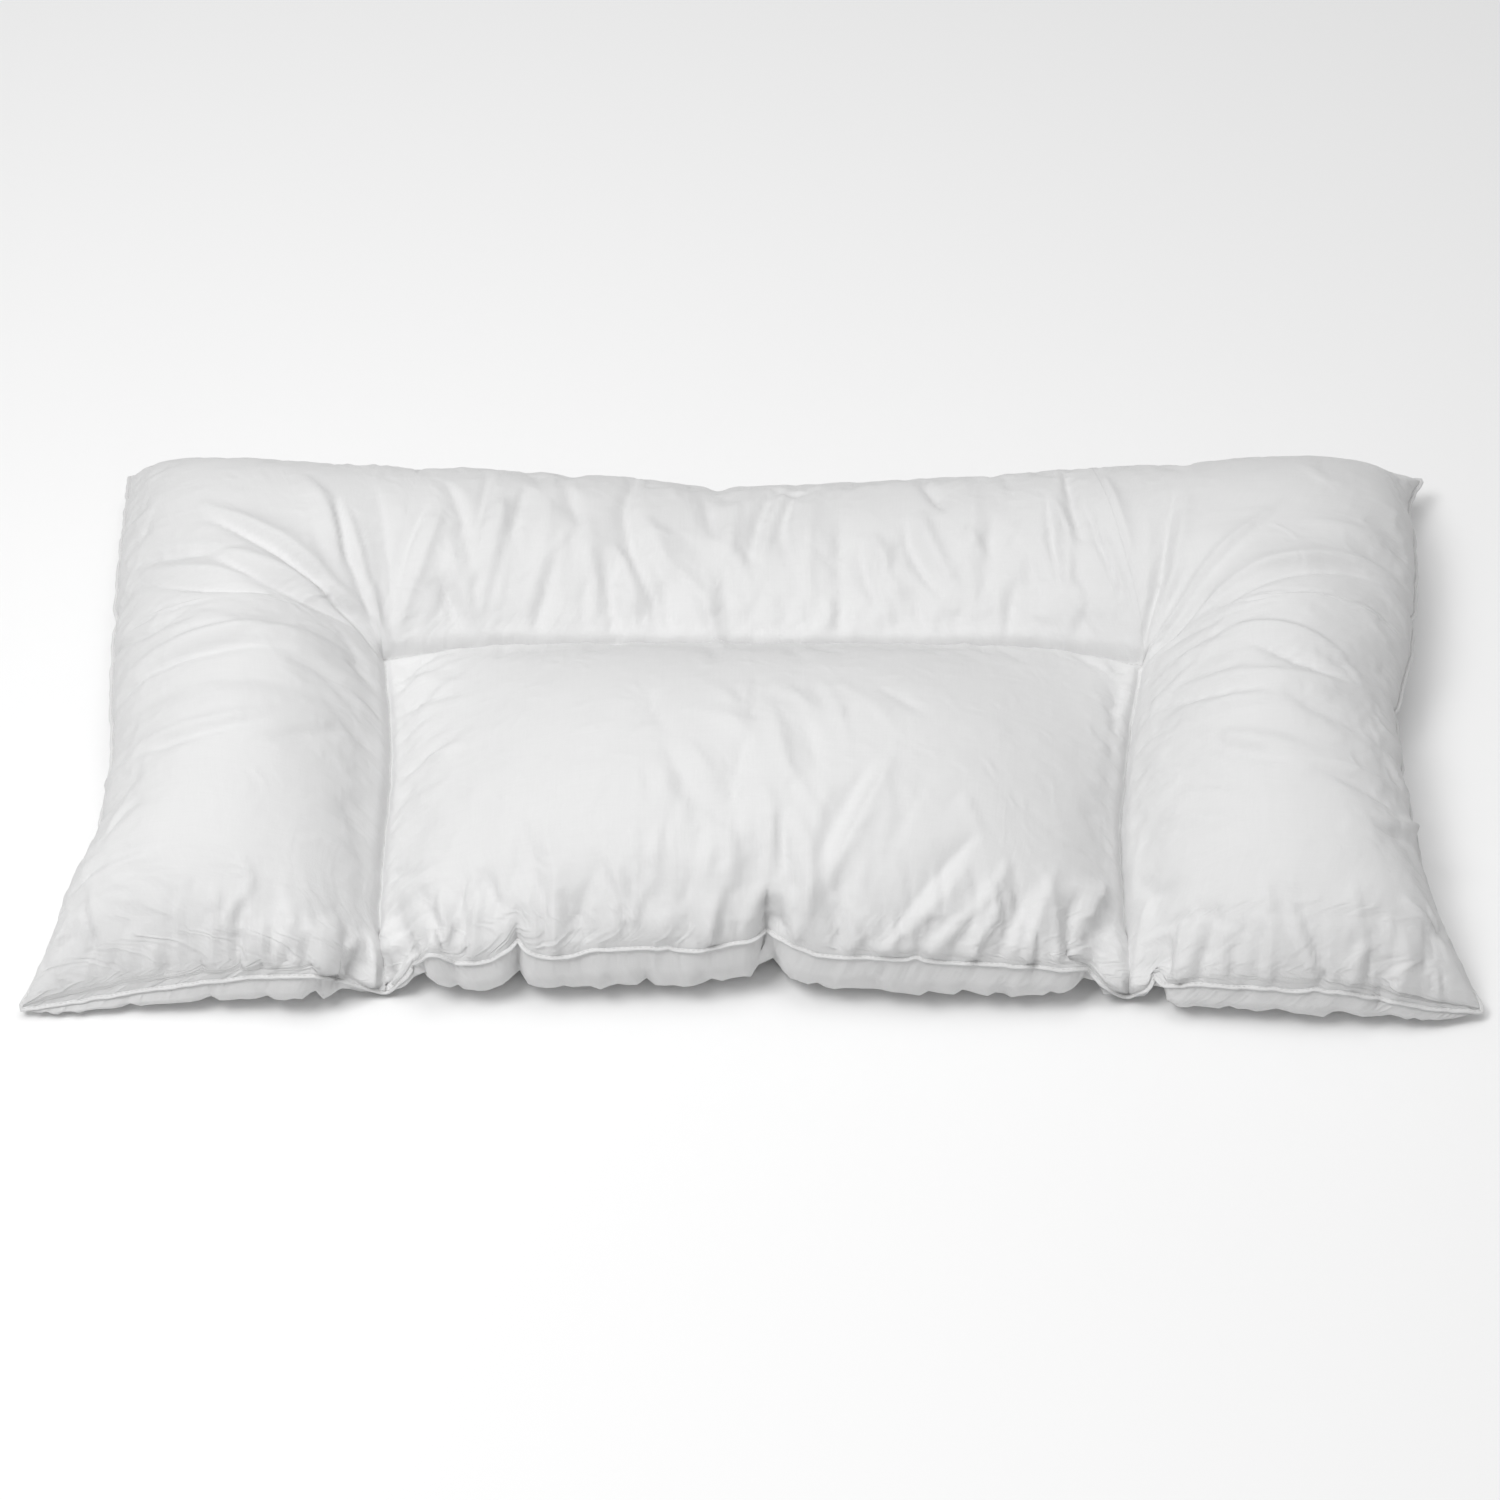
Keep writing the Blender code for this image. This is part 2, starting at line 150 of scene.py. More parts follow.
# Wavelengths of the ripple in a gathered seam, and the share of each, how much the lengths
# vary, how far from the seam it fades out, and how many half widths a notch reaches
RIPPLE_WAVES = ((31 * MM, 0.35), (19 * MM, 0.3), (12 * MM, 0.2), (8 * MM, 0.15))
RIPPLE_VARIES = (0.8, 1.25)
RIPPLE_FADE = 12 * MM
NOTCH_FADE = 4

# Share of full contact from which the underside rests on the floor and stays put
RESTING = 0.97

# How the cotton settles, and how near a seam its own movement fades out
CLOTH_SETTINGS = {
    "quality": 6, "mass": 0.02, "tension_stiffness": 30, "compression_stiffness": 30,
    "shear_stiffness": 8, "bending_stiffness": 0.01, "tension_damping": 5,
    "compression_damping": 5, "shear_damping": 5, "use_pressure": True}
SETTLED_FADE = 10 * MM

# The piping: steps along it and sides round it, how much its width varies, how far out of
# the seam it lies, and how far it sways up and down
PIPING_STEP = 2 * MM
PIPING_SIDES = 12
PIPING_GATHER = 0.07
PIPING_SET = 0.7 * MM
PIPING_SWAY = 0.3 * MM
STITCH_SIDES = 6

# Rings of a stitch: share of its length, swell of the thread, and how far it is sunk
STITCH_RINGS = ((0, 0.5, -0.5), (0.18, 1, 0), (0.5, 1.05, 0.2), (0.82, 1, 0), (1, 0.5, -0.5))

# Maps that the materials read: how far along the cloth a place lies, and how far along and
# away from its nearest edge and its nearest channel
WEAVE_MAP = "woven_place"
EDGE_MAP = "place_by_edge"
CHANNEL_MAP = "place_by_channel"

# The radius at which puckers fan out round a corner of the U, and how much nearer than the
# next seam a seam has to be before its puckers show in full
FAN_RADIUS = 34 * MM
BETWEEN_SEAMS = 20 * MM

# The cotton: yarn shape, slub grain along warp and weft, and how much slubs change it
YARN_ROUNDNESS = 0.6
WARP_GRAIN = (1.1 * MM, 26 * MM)
WEFT_GRAIN = (34 * MM, 0.9 * MM)
DARK_SLUB = 0.93
SLUB_ROUGHNESS = 0.12
LOWEST_ROUGHNESS = 0.76
COTTON_SHEEN = 0.15

# The grain of the crumple and of its bends, and how far it bends
BROAD_CRUMPLE = 32 * MM
FINE_CRUMPLE = 11 * MM
BEND_GRAIN = 40 * MM
BEND = 20 * MM

# The grain of the puckers and of their reach, along the seam and away from it, the longest
# as a share of the reach asked for, and the shortest
COARSE_PUCKERS = (9 * MM, 80 * MM)
FINE_PUCKERS = (4 * MM, 40 * MM)
REACH_GRAIN = (16 * MM, 200 * MM)
LONGEST_REACH = 4
SHORTEST_REACH = 2 * MM

# How high the fine creases of a crumple or of puckers are beside the coarse ones
FINE_SHARE = 0.4

# The thread's twist and the floor's finish
THREAD_PLY = 0.8 * MM
THREAD_RELIEF = 0.05 * MM
DARK_PLY = 0.9
THREAD_ROUGHNESS = 0.6
FLOOR_ROUGHNESS = 0.9

# The studio: half the width of its floor, where its lights hang, their widths, and the
# width of the camera's sensor in millimetres
FLOOR_HALF_WIDTH = 6
KEY_PLACE, KEY_WIDTH = (-0.79, -0.66, 1.94), 0.8
TOP_PLACE, TOP_WIDTH = (0, 0, 2.2), 1
SENSOR_WIDTH = 36

# Where the seams lie once the pillow is filled, in millimetres: a place along the flat
# seam, then the filled place across, deep and high. A notch pulls a short stretch of the
# seam inwards and lifts it. Ripple and notches push a seam sideways along X, 0, or Y, 1,
# and up and down, and fade out over the cloth beside it.
SeamPoint = namedtuple("SeamPoint", "flat across deep high")
Notch = namedtuple("Notch", "flat half_width inward lift")
Seam = namedtuple("Seam", "sideways seed ripple_depth rows notches")

FRONT_EDGE = Seam(1, 21, 0.5 * MM, [SeamPoint(*row) for row in (
    (-400, -370, -184, 6), (-365, -338, -181, 10), (-330, -306, -180, 17),
    (-285, -266, -180, 25), (-258, -244, -181, 29), (-240, -227, -183, 32),
    (-228, -217, -183, 30), (-217, -207, -177, 20), (-200, -187, -171, 4),
    (-190, -178, -172, 13), (-180, -168, -175, 30), (-172, -161, -176, 41),
    (-164, -155, -176, 38), (-152, -144, -176, 33), (-140, -133, -175, 34),
    (-126, -120, -174, 41), (-104, -98, -176, 38), (-79, -74, -174, 42),
    (-61, -57, -174, 43), (-29, -27, -174, 41), (-6, -5, -171, 44), (13, 13, -168, 44),
    (25, 24, -173, 42), (43, 40, -176, 39), (70, 66, -178, 40), (106, 100, -179, 38),
    (134, 126, -180, 37), (166, 157, -180, 33), (178, 168, -178, 29),
    (188, 181, -177, 15), (200, 193, -175, 5), (209, 201, -179, 15), (221, 212, -182, 23),
    (242, 231, -185, 27), (275, 260, -188, 28), (316, 294, -190, 28),
    (335, 311, -190, 24), (366, 338, -190, 16), (388, 359, -188, 10),
    (400, 371, -186, 7))], [Notch(*row) for row in (
        (-222, 4, 5, -4), (-183, 3, 6, -3), (-158, 3, 2, -3), (-123, 3, 7, 1),
        (-90, 4, 1, -1), (-44, 3, 1, 1), (8, 4, 9, -4), (60, 4, 1, -1), (88, 3, 1, 1),
        (121, 4, 1, -1), (152, 3, 2, -2), (181, 4, 7, -4), (214, 3, 7, 0),
        (262, 4, 1, -1), (305, 4, 1, 1), (343, 4, 2, -2))])

BACK_EDGE = Seam(1, 23, 0.7 * MM, [SeamPoint(*row) for row in (
    (-400, -358, 195, 20), (-360, -329, 186, 28), (-300, -275, 179, 33),
    (-200, -186, 175, 34), (-100, -92, 174, 34), (-20, -18, 168, 32), (60, 59, 171, 33),
    (160, 153, 174, 34), (260, 247, 176, 35), (340, 322, 181, 33),
    (385, 366, 188, 25), (400, 387, 192, 20))], [Notch(*row) for row in (
        (-20, 6, -3, -2), (-110, 7, -2, -1), (140, 7, -2, 1), (255, 6, -2, -1))])

LEFT_EDGE = Seam(0, 25, 0.7 * MM, [SeamPoint(*row) for row in (
    (-200, -370, -184, 6), (-168, -357, -156, 20), (-140, -350, -132, 30),
    (-100, -339, -97, 37), (-50, -336, -50, 40), (5, -342, 2, 40), (100, -350, 97, 38),
    (165, -354, 160, 30), (200, -358, 195, 20))], [Notch(*row) for row in (
        (-95, 5, 2, 0), (60, 5, 2, 1))])

RIGHT_EDGE = Seam(0, 27, 0.7 * MM, [SeamPoint(*row) for row in (
    (-200, 371, -185, 8), (-172, 358, -158, 20), (-140, 348, -129, 31),
    (-100, 344, -97, 38), (-50, 343, -49, 40), (-12, 345, -12, 40), (35, 358, 34, 40),
    (80, 366, 78, 40), (130, 372, 126, 36), (166, 374, 159, 30),
    (200, 387, 192, 20))], [Notch(*row) for row in (
        (-60, 5, -2, 0), (-12, 5, -2, 0), (60, 5, -2, 1))])

LEFT_SEAM = Seam(0, 29, 0.5 * MM, [SeamPoint(*row) for row in (
    (-200, -186, -172, 6), (-180, -188, -157, 12), (-155, -191, -138, 19),
    (-120, -191, -109, 25), (-60, -190, -58, 30), (-10, -193, -10, 34), (30, -199, 33, 36))], [])

RIGHT_SEAM = Seam(0, 31, 0.5 * MM, [SeamPoint(*row) for row in (
    (-200, 194, -175, 5), (-178, 194, -156, 13), (-150, 193, -133, 20),
    (-110, 193, -99, 27), (-60, 198, -55, 31), (-10, 205, -10, 34), (30, 213, 29, 36))], [])

BACK_SEAM = Seam(1, 33, 0.5 * MM, [SeamPoint(*row) for row in (
    (-200, -199, 33, 36), (-130, -127, 38, 39), (-20, -18, 38, 38), (80, 80, 37, 39),
    (150, 154, 36, 39), (200, 213, 29, 36))], [])

# Filled height of the crown over places on the flat panels, in millimetres
Crown = namedtuple("Crown", "flat_x flat_y high")

BOLSTER_CROWNS = [Crown(*row) for row in (
    (-300, -130, 84), (-300, -30, 94), (-305, 60, 90), (-290, 115, 83), (-180, 115, 78),
    (-95, 115, 70), (-20, 115, 60), (60, 115, 62), (140, 115, 69), (220, 115, 81),
    (300, 112, 87), (300, 40, 93), (300, -40, 95), (300, -130, 83))]

PAD_CROWNS = [Crown(*row) for row in (
    (-110, -70, 90), (-40, -80, 92), (40, -85, 90), (115, -75, 93))]

# Folds and puckers, in millimetres on the flat panel: where a fold starts and ends, how far
# its middle bows to its left, its half width, and its lift, or its depth below zero
Fold = namedtuple("Fold", "start_x start_y end_x end_y bow half_width lift")

MAIN_FOLDS = [Fold(*row) for row in (
    # left arm
    (-335, 110, -200, 31, 2, 5, 7), (-330, 98, -203, 27, 1, 4.5, -8),
    (-325, 64, -222, 32, -4, 4, -6), (-329, 73, -220, 42, -3, 5, 5),
    (-388, 85, -302, 69, -6, 3.5, -4.5), (-390, 66, -271, 36, -11, 3.5, -4.5),
    (-385, 72, -280, 47, -6, 4.5, 3.5), (-394, -14, -260, -6, 0, 4.5, -5),
    (-385, -38, -225, -34, 2, 18, -3.5), (-392, 18, -232, 12, -6, 14, 2.5),
    (-392, -4, -220, 10, -1, 5, 4.5), (-263, -12, -221, -19, 3, 4.5, -2),
    (-382, -73, -272, -65, -6, 4.5, -3.5), (-384, -63, -272, -57, -7, 4.5, 3),
    (-280, -78, -224, -44, -4, 3.5, -2), (-399, 31, -358, 16, -4, 4.5, -2.5),
    (-374, -137, -346, -116, 15, 6, -3), (-400, -69, -353, -78, 0, 4.5, 2.5),
    (-384, -157, -326, -152, -1, 6, 2.5),
    # left arm front
    (-323, -191, -316, -200, 0, 3.5, -4), (-304, -192, -296, -200, 0, 3.5, -4),
    (-281, -191, -274, -200, 0, 3.5, -4.5), (-267, -179, -271, -199, 2, 4.5, 4),
    (-290, -184, -286, -199, 0, 4.5, 3), (-242, -174, -252, -198, 3, 4.5, 3.5),
    (-234, -186, -231, -200, -1, 4, -8), (-223, -176, -221, -200, -1, 8, 11),
    (-213, -188, -213, -200, 0, 3.5, -6), (-206, -176, -206, -200, 0, 5, 8),
    (-193, -172, -194, -200, 0, 4.5, 7),
    (-349, -195, -342, -200, 0, 4.5, -3), (-256, -190, -261, -200, 1, 3, -3),
    # pad front
    (-181, -183, -196, -200, -2, 6, -9), (-191, -158, -198, -193, -2, 5, 4),
    (-176, -157, -162, -200, -3, 3.5, -5), (-165, -167, -160, -197, -1, 4.5, 3.5),
    (-154, -169, -152, -200, -1, 3.5, -6), (-143, -172, -149, -200, 0, 4.5, 3.5),
    (-144, -161, -127, -197, -1, 3.5, -5), (-122, -135, -109, -198, 1, 3.5, -3.5),
    (-110, -139, -104, -199, 1, 4.5, 4), (-99, -184, -88, -199, -1, 3.5, -3.5),
    (-86, -163, -66, -198, 0, 3.5, -4), (-78, -164, -60, -197, 0, 4.5, 3.5),
    (-66, -162, -40, -191, 0, 4.5, -2.5), (-52, -191, -43, -200, 0, 3.5, 3),
    (-33, -190, -27, -200, -1, 4.5, -3), (-11, -147, -22, -198, 5, 8, 6),
    (-1, -90, -5, -168, -5, 7, -5), (-47, -95, -10, -155, -5, 6.5, -3.5),
    (-34, -92, -9, -131, -3, 6, 2), (6, -132, 2, -196, 6, 6, 4.5),
    (16, -148, 25, -197, -2, 4.5, -6), (23, -143, 25, -199, 8, 6, 5.5),
    (12, -189, 8, -200, 1, 6, -8), (64, -108, 36, -170, -1, 7, -4.5),
    (75, -103, 39, -183, 2, 5, 4.5), (41, -187, 48, -200, 0, 4.5, -3.5),
    (62, -188, 54, -200, 1, 4.5, 3), (120, -147, 79, -194, 1, 4.5, -4.5),
    (112, -168, 68, -200, 6, 4.5, 4.5), (136, -158, 95, -199, 7, 4.5, 4.5),
    (129, -181, 107, -198, 1, 3.5, -4), (131, -178, 117, -200, 4, 3.5, 4.5),
    (148, -168, 134, -199, 1, 3.5, -3.5), (160, -154, 147, -200, 0, 4.5, 4.5),
    (173, -165, 177, -200, -5, 4.5, -9), (189, -146, 177, -181, -2, 5, 5),
    (191, -172, 191, -200, 0, 6, 10), (25, -71, 35, -128, 4, 6.5, -2.5),
    (-29, -71, 1, -99, 6, 6.5, 2.5), (8, -61, 20, -135, 2, 6.5, 3),
    # back
    (-270, 144, -232, 69, 3, 6.5, 4.5), (-247, 122, -209, 42, -4, 4.5, -5),
    (-239, 116, -197, 33, -3, 6, 5), (-223, 135, -197, 49, 0, 6, -2),
    (-189, 120, -196, 44, -2, 5, -3), (-180, 115, -192, 35, 2, 6, 3.5),
    (-181, 148, -158, 69, 2, 5, -5), (-175, 67, -159, 35, -2, 3.5, -4),
    (-171, 84, -150, 35, -2, 5, 4), (-156, 162, -157, 73, -1, 5, -4),
    (-146, 129, -148, 48, 1, 7, 3.5), (-135, 149, -139, 85, 0, 5, -3.5),
    (-121, 135, -123, 43, 3, 7, 3), (-109, 154, -100, 106, -1, 4.5, -4),
    (-110, 76, -120, 35, 1, 4.5, -3), (-70, 172, -55, 49, -10, 6.5, -7),
    (-85, 87, -73, 19, 0, 5, -4), (-79, 92, -65, 34, 3, 6, 4.5),
    (-62, 122, -42, 63, -3, 6.5, 4.5), (-96, 115, -86, 45, -2, 6, 3),
    (-48, 67, -45, 34, -2, 6, -4), (-44, 77, -19, 13, 5, 5, 4.5),
    (-29, 159, -22, 101, 0, 6.5, -4), (-8, 160, -14, 69, -1, 7, 3),
    (11, 169, -3, 79, -1, 6, -6), (20, 172, 4, 81, 0, 5, 4), (27, 168, 21, 79, -6, 4.5, -5),
    (35, 157, 33, 54, -3, 6.5, 3.5), (51, 128, 49, 42, -1, 6.5, -3), (62, 99, 71, 48, -2, 3.5, -5),
    (69, 109, 81, 53, -1, 5, 4), (88, 121, 105, 52, -6, 4.5, -6),
    (98, 128, 114, 58, -4, 6, 4.5), (90, 63, 94, 38, -1, 4.5, -3.5),
    (99, 174, 110, 126, 0, 4.5, -5), (130, 148, 121, 71, 0, 7, 3),
    (136, 116, 125, 45, 0, 6, -3), (146, 66, 137, 33, 0, 3.5, -4),
    (153, 82, 155, 42, 0, 3.5, -3.5), (169, 134, 165, 59, -1, 3.5, -5),
    (173, 133, 168, 56, 4, 4.5, 4.5), (183, 170, 179, 90, 0, 3.5, -6),
    (188, 130, 194, 46, -2, 3.5, -5), (191, 108, 196, 46, -1, 4.5, 4),
    (241, 129, 198, 30, 3, 3.5, -6), (248, 128, 203, 33, 6, 5, 3.5), (205, 154, 205, 79, 0, 6.5, 3),
    # right arm
    (198, 26, 306, 111, -2, 3.5, 4), (199, 24, 248, 45, -2, 3.5, -3.5),
    (229, 30, 390, 63, 13, 5, 5), (257, 30, 393, 56, 8, 4.5, -4), (209, -3, 358, -12, 13, 4.5, 5),
    (228, 3, 272, 3, 1, 3, -2.5), (276, -4, 355, -25, -4, 3.5, -4),
    (218, -17, 377, -27, -10, 4.5, 3), (209, -24, 291, -43, -5, 3.5, -4),
    (214, -41, 306, -53, -2, 4.5, 3), (304, -45, 379, -55, -6, 3.5, -3.5),
    (242, -72, 303, -92, -3, 3.5, -4), (239, -62, 311, -82, -5, 4.5, 3),
    (222, -88, 277, -112, -2, 4.5, -2.5), (321, -91, 392, -90, -2, 3.5, 3),
    (323, -98, 387, -104, -1, 3.5, -3), (360, -117, 399, -99, -7, 3, 4),
    (356, -125, 395, -117, -4, 3.5, -3), (358, -169, 382, -177, 1, 3, 4),
    (381, -41, 398, -46, -4, 3.5, 3.5), (386, -66, 398, -78, -1, 3, 3),
    (222, -111, 265, -131, -3, 5, 2), (347, 66, 395, 65, -1, 4.5, 2.5),
    (316, 97, 388, 99, -5, 8.5, 2), (232, -62, 385, -80, -3, 18, -3),
    (230, 12, 385, 30, 8, 14, 2),
    # right arm front
    (211, -158, 207, -200, -1, 6, 10), (219, -180, 217, -200, 0, 4, -8),
    (226, -176, 225, -200, 2, 5, 5),
    (244, -179, 238, -200, 0, 4.5, -3.5), (237, -174, 231, -195, 0, 4.5, 3),
    (273, -182, 270, -199, -1, 3.5, -4), (278, -180, 275, -199, -1, 3.5, 4.5),
    (292, -173, 309, -199, -2, 3.5, -4.5), (287, -173, 302, -199, -2, 4.5, 3),
    (333, -188, 323, -199, 0, 4.5, 4), (339, -189, 333, -199, 0, 3.5, -3.5),
    (258, -185, 256, -200, -1, 3.5, -3), (361, -190, 351, -199, 0, 4.5, 3))]

LOWER_FOLDS = [Fold(*row) for row in (
    # below the front edge, at its pleats
    (-232, -200, -231, -176, 0, 5, -7), (-214, -200, -215, -178, 0, 4, -6),
    (-180, -200, -178, -174, 1, 5, -8), (-123, -200, -125, -174, 0, 4, -8),
    (8, -200, 10, -170, 0, 5, -9), (183, -200, 182, -174, 0, 5, -8),
    (216, -200, 218, -176, 0, 4.5, -7),
    # slanting from the front edge
    (-345, -200, -330, -184, 1, 3, -3), (-292, -200, -301, -182, 0, 3, -3),
    (-262, -200, -256, -184, 0, 3, -3), (-160, -200, -151, -182, 1, 3, -3),
    (-101, -200, -108, -180, 0, 3, -3), (-82, -200, -74, -184, 0, 3, 2.5),
    (-55, -200, -62, -182, 0, 3, -3), (-28, -200, -19, -184, 0, 3, -3),
    (40, -200, 33, -182, 1, 3, -3), (66, -200, 77, -182, 1, 3, -3.5),
    (92, -200, 84, -180, 0, 3, 3), (112, -200, 121, -182, 0, 3, -3.5),
    (140, -200, 129, -181, 1, 3, -4), (158, -200, 168, -182, 0, 3, -3),
    (252, -200, 261, -183, 0, 3, -3), (286, -200, 278, -182, 0, 3, -3),
    (318, -200, 330, -184, 1, 3, -3.5), (352, -200, 345, -184, 0, 3, -3))]

# Short uneven puckers, in millimetres on the flat panel: a stretch of seam from one place
# till another, the heading of the puckers in degrees and how much it varies, how far
# apart they are, their length, half width and depth
Gather = namedtuple(
    "Gather", "from_x from_y till_x till_y heading spread spacing length half_width depth")

UPPER_GATHERS = [Gather(*row) for row in (
    # back edge, and the back of the arms
    (-250, 190, 250, 190, -90, 20, 8, 30, 2.6, 0.6),
    (-395, 198, -250, 198, -90, 16, 10, 22, 2.6, 0.6),
    (250, 198, 395, 198, -90, 16, 10, 22, 2.6, 0.6),
    # back of the U, up the front slope of the back bolster
    (-196, 32, 196, 32, 90, 22, 5, 32, 2.3, 1.3),
    # across the back bolster
    (-190, 110, 190, 110, -90, 30, 7, 46, 2.6, 1.2),
    # sides of the U, out over the arms
    (-202, 30, -202, -60, 168, 16, 6, 44, 2.5, 1.4),
    (-202, -60, -202, -190, 180, 14, 9, 26, 2.3, 0.9),
    (202, 30, 202, -70, 8, 14, 5.5, 62, 2.5, 1.2),
    (202, -70, 202, -190, -6, 14, 8, 32, 2.3, 1.1),
    # fans from the back corners of the U
    (-205, 34, -196, 42, 135, 24, 1.2, 72, 2.7, 1.4),
    (205, 34, 196, 42, 45, 24, 1.2, 76, 2.7, 1.2),
    # sides of the U, in over the pad
    (-198, 20, -198, -190, 0, 18, 4, 34, 2.3, 2),
    (198, 20, 198, -190, 180, 16, 6, 20, 2.2, 1.0),
    (-190, 28, 190, 28, -90, 16, 9, 14, 2.2, 0.7),
    # left and right edges
    (-398, 190, -398, -190, 0, 16, 8, 26, 2.4, 0.9),
    (398, 190, 398, -190, 180, 16, 8, 28, 2.4, 1.0),
    # front edge
    (-380, -198, -205, -198, 90, 20, 4.5, 26, 2.4, 2.8),
    (-195, -198, 195, -198, 90, 22, 5, 30, 2.3, 2.2),
    (205, -198, 380, -198, 90, 20, 5, 24, 2.3, 1.8),
    # middle of the pad
    (-60, -40, 60, -40, -90, 20, 6, 46, 2.6, 1.5),
    (-70, -110, 130, -110, -80, 30, 8, 40, 2.6, 1.4),
)]

LOWER_GATHERS = [Gather(*row) for row in (
    (-390, -198, -205, -198, 90, 16, 7, 22, 2.8, 1.6),
    (-195, -198, 195, -198, 90, 18, 7, 22, 2.8, 1.6),
    (205, -198, 390, -198, 90, 16, 7, 22, 2.8, 1.6),
    (-390, 198, 390, 198, -90, 16, 7, 30, 2.8, 1.6),
    (-398, 190, -398, -190, 0, 14, 7, 28, 2.8, 1.6),
    (398, 190, 398, -190, 180, 14, 7, 28, 2.8, 1.6),
    (-202, 30, -202, -190, 180, 14, 8, 26, 2.8, 1.4),
    (202, 30, 202, -190, 0, 14, 8, 26, 2.8, 1.4),
    (-198, 30, -198, -190, 0, 14, 8, 26, 2.8, 1.4),
    (198, 30, 198, -190, 180, 14, 8, 26, 2.8, 1.4),
    (-196, 32, 196, 32, 90, 18, 8, 28, 2.8, 1.6),
    (-190, 28, 190, 28, -90, 16, 8, 26, 2.8, 1.4),
)]


def read_seam(rows, flat):
    """Return the filled places on a seam, on a smooth curve through its rows."""
    places = np.array([row.flat for row in rows]) * MM
    values = np.array([(row.across, row.deep, row.high) for row in rows]) * MM
    steps = np.diff(places)
    slopes = np.diff(values, axis=0) / steps[:, None]
    tangents = np.vstack((slopes[:1], (slopes[1:] + slopes[:-1]) / 2, slopes[-1:]))
    turning = slopes[1:] * slopes[:-1] <= 0
    tangents[1:-1][turning] = 0
    index = np.clip(np.searchsorted(places, flat) - 1, 0, len(steps) - 1)
    along = ((flat - places[index]) / steps[index])[:, None]
    size = steps[index][:, None]
    start = values[index] * (1 + 2 * along) * (1 - along) ** 2
    end = values[index + 1] * along ** 2 * (3 - 2 * along)
    leave = tangents[index] * size * along * (1 - along) ** 2
    arrive = tangents[index + 1] * size * along ** 2 * (along - 1)
    return start + end + leave + arrive


def ripple(along, seed):
    """Return the small uneven gathers that a thread pulls into a seam, from -1 to 1."""
    chance = np.random.default_rng(seed)
    total = np.zeros(len(along))
    for length, share in RIPPLE_WAVES:
        turns = along / (length * chance.uniform(*RIPPLE_VARIES)) + chance.uniform()
        total += share * np.sin(2 * math.pi * turns)
    return total


def seam_drift(seam, along, away, flat_x, flat_y):
    """Return how far filling the pillow has moved the cloth at and beside a seam."""
    drift = read_seam(seam.rows, along)
    drift[:, 0] -= flat_x
    drift[:, 1] -= flat_y
    fade = np.exp(-np.maximum(away, 0) / RIPPLE_FADE)
    drift[:, seam.sideways] += seam.ripple_depth * fade * ripple(along, seam.seed)
    drift[:, 2] += seam.ripple_depth * fade * ripple(along, seam.seed + 1)
    for notch in seam.notches:
        half_width = notch.half_width * MM
        nearness = np.exp(
            -((along - notch.flat * MM) / half_width) ** 2
            - np.maximum(away, 0) / (NOTCH_FADE * half_width))
        drift[:, seam.sideways] += notch.inward * MM * nearness
        drift[:, 2] += notch.lift * MM * nearness
    return drift


def seams_round(flat):
    """Return each place's distances to the four seams round it, and how those have drifted."""
    flat_x, flat_y = flat[:, 0], flat[:, 1]
    on_pad = (np.abs(flat_x) <= PAD_HALF_WIDTH + ON_SEAM) & (flat_y <= PAD_BACK + ON_SEAM)
    pad_x = np.clip(flat_x, -PAD_HALF_WIDTH, PAD_HALF_WIDTH)
    pad_y = np.minimum(flat_y, PAD_BACK)
    to_left = np.hypot(flat_x + PAD_HALF_WIDTH, flat_y - pad_y)
    to_right = np.hypot(flat_x - PAD_HALF_WIDTH, flat_y - pad_y)
    to_back = np.hypot(flat_x - pad_x, flat_y - PAD_BACK)
    front = seam_drift(FRONT_EDGE, flat_x, HALF_DEPTH + flat_y, flat_x, -HALF_DEPTH)
    back = seam_drift(BACK_EDGE, flat_x, HALF_DEPTH - flat_y, flat_x, HALF_DEPTH)
    left = seam_drift(LEFT_EDGE, flat_y, HALF_WIDTH + flat_x, -HALF_WIDTH, flat_y)
    right = seam_drift(RIGHT_EDGE, flat_y, HALF_WIDTH - flat_x, HALF_WIDTH, flat_y)
    pad_left = seam_drift(LEFT_SEAM, pad_y, to_left, -PAD_HALF_WIDTH, pad_y)
    pad_right = seam_drift(RIGHT_SEAM, pad_y, to_right, PAD_HALF_WIDTH, pad_y)
    pad_back = seam_drift(BACK_SEAM, pad_x, to_back, pad_x, PAD_BACK)
    beside = np.abs(flat_x) > PAD_HALF_WIDTH
    rightward = (pad_x / PAD_HALF_WIDTH + 1) / 2
    outer = left + (right - left) * rightward[:, None]
    inner = np.where(flat_x[:, None] < 0, pad_left, pad_right)
    distances = np.column_stack((
        HALF_DEPTH + flat_y,
        np.where(on_pad, flat_x + PAD_HALF_WIDTH, HALF_WIDTH - np.abs(flat_x)),
        np.where(on_pad, PAD_HALF_WIDTH - flat_x, HALF_DEPTH - flat_y),
        np.where(on_pad, PAD_BACK - flat_y, np.hypot(flat_x - pad_x, flat_y - pad_y))))
    on_pad = on_pad[:, None]
    drifts = np.stack((
        front,
        np.where(on_pad, pad_left, outer),
        np.where(on_pad, pad_right, back),
        np.where(on_pad, pad_back, np.where(beside[:, None], inner, pad_back))), axis=1)
    return np.maximum(distances, 0), drifts, on_pad[:, 0]


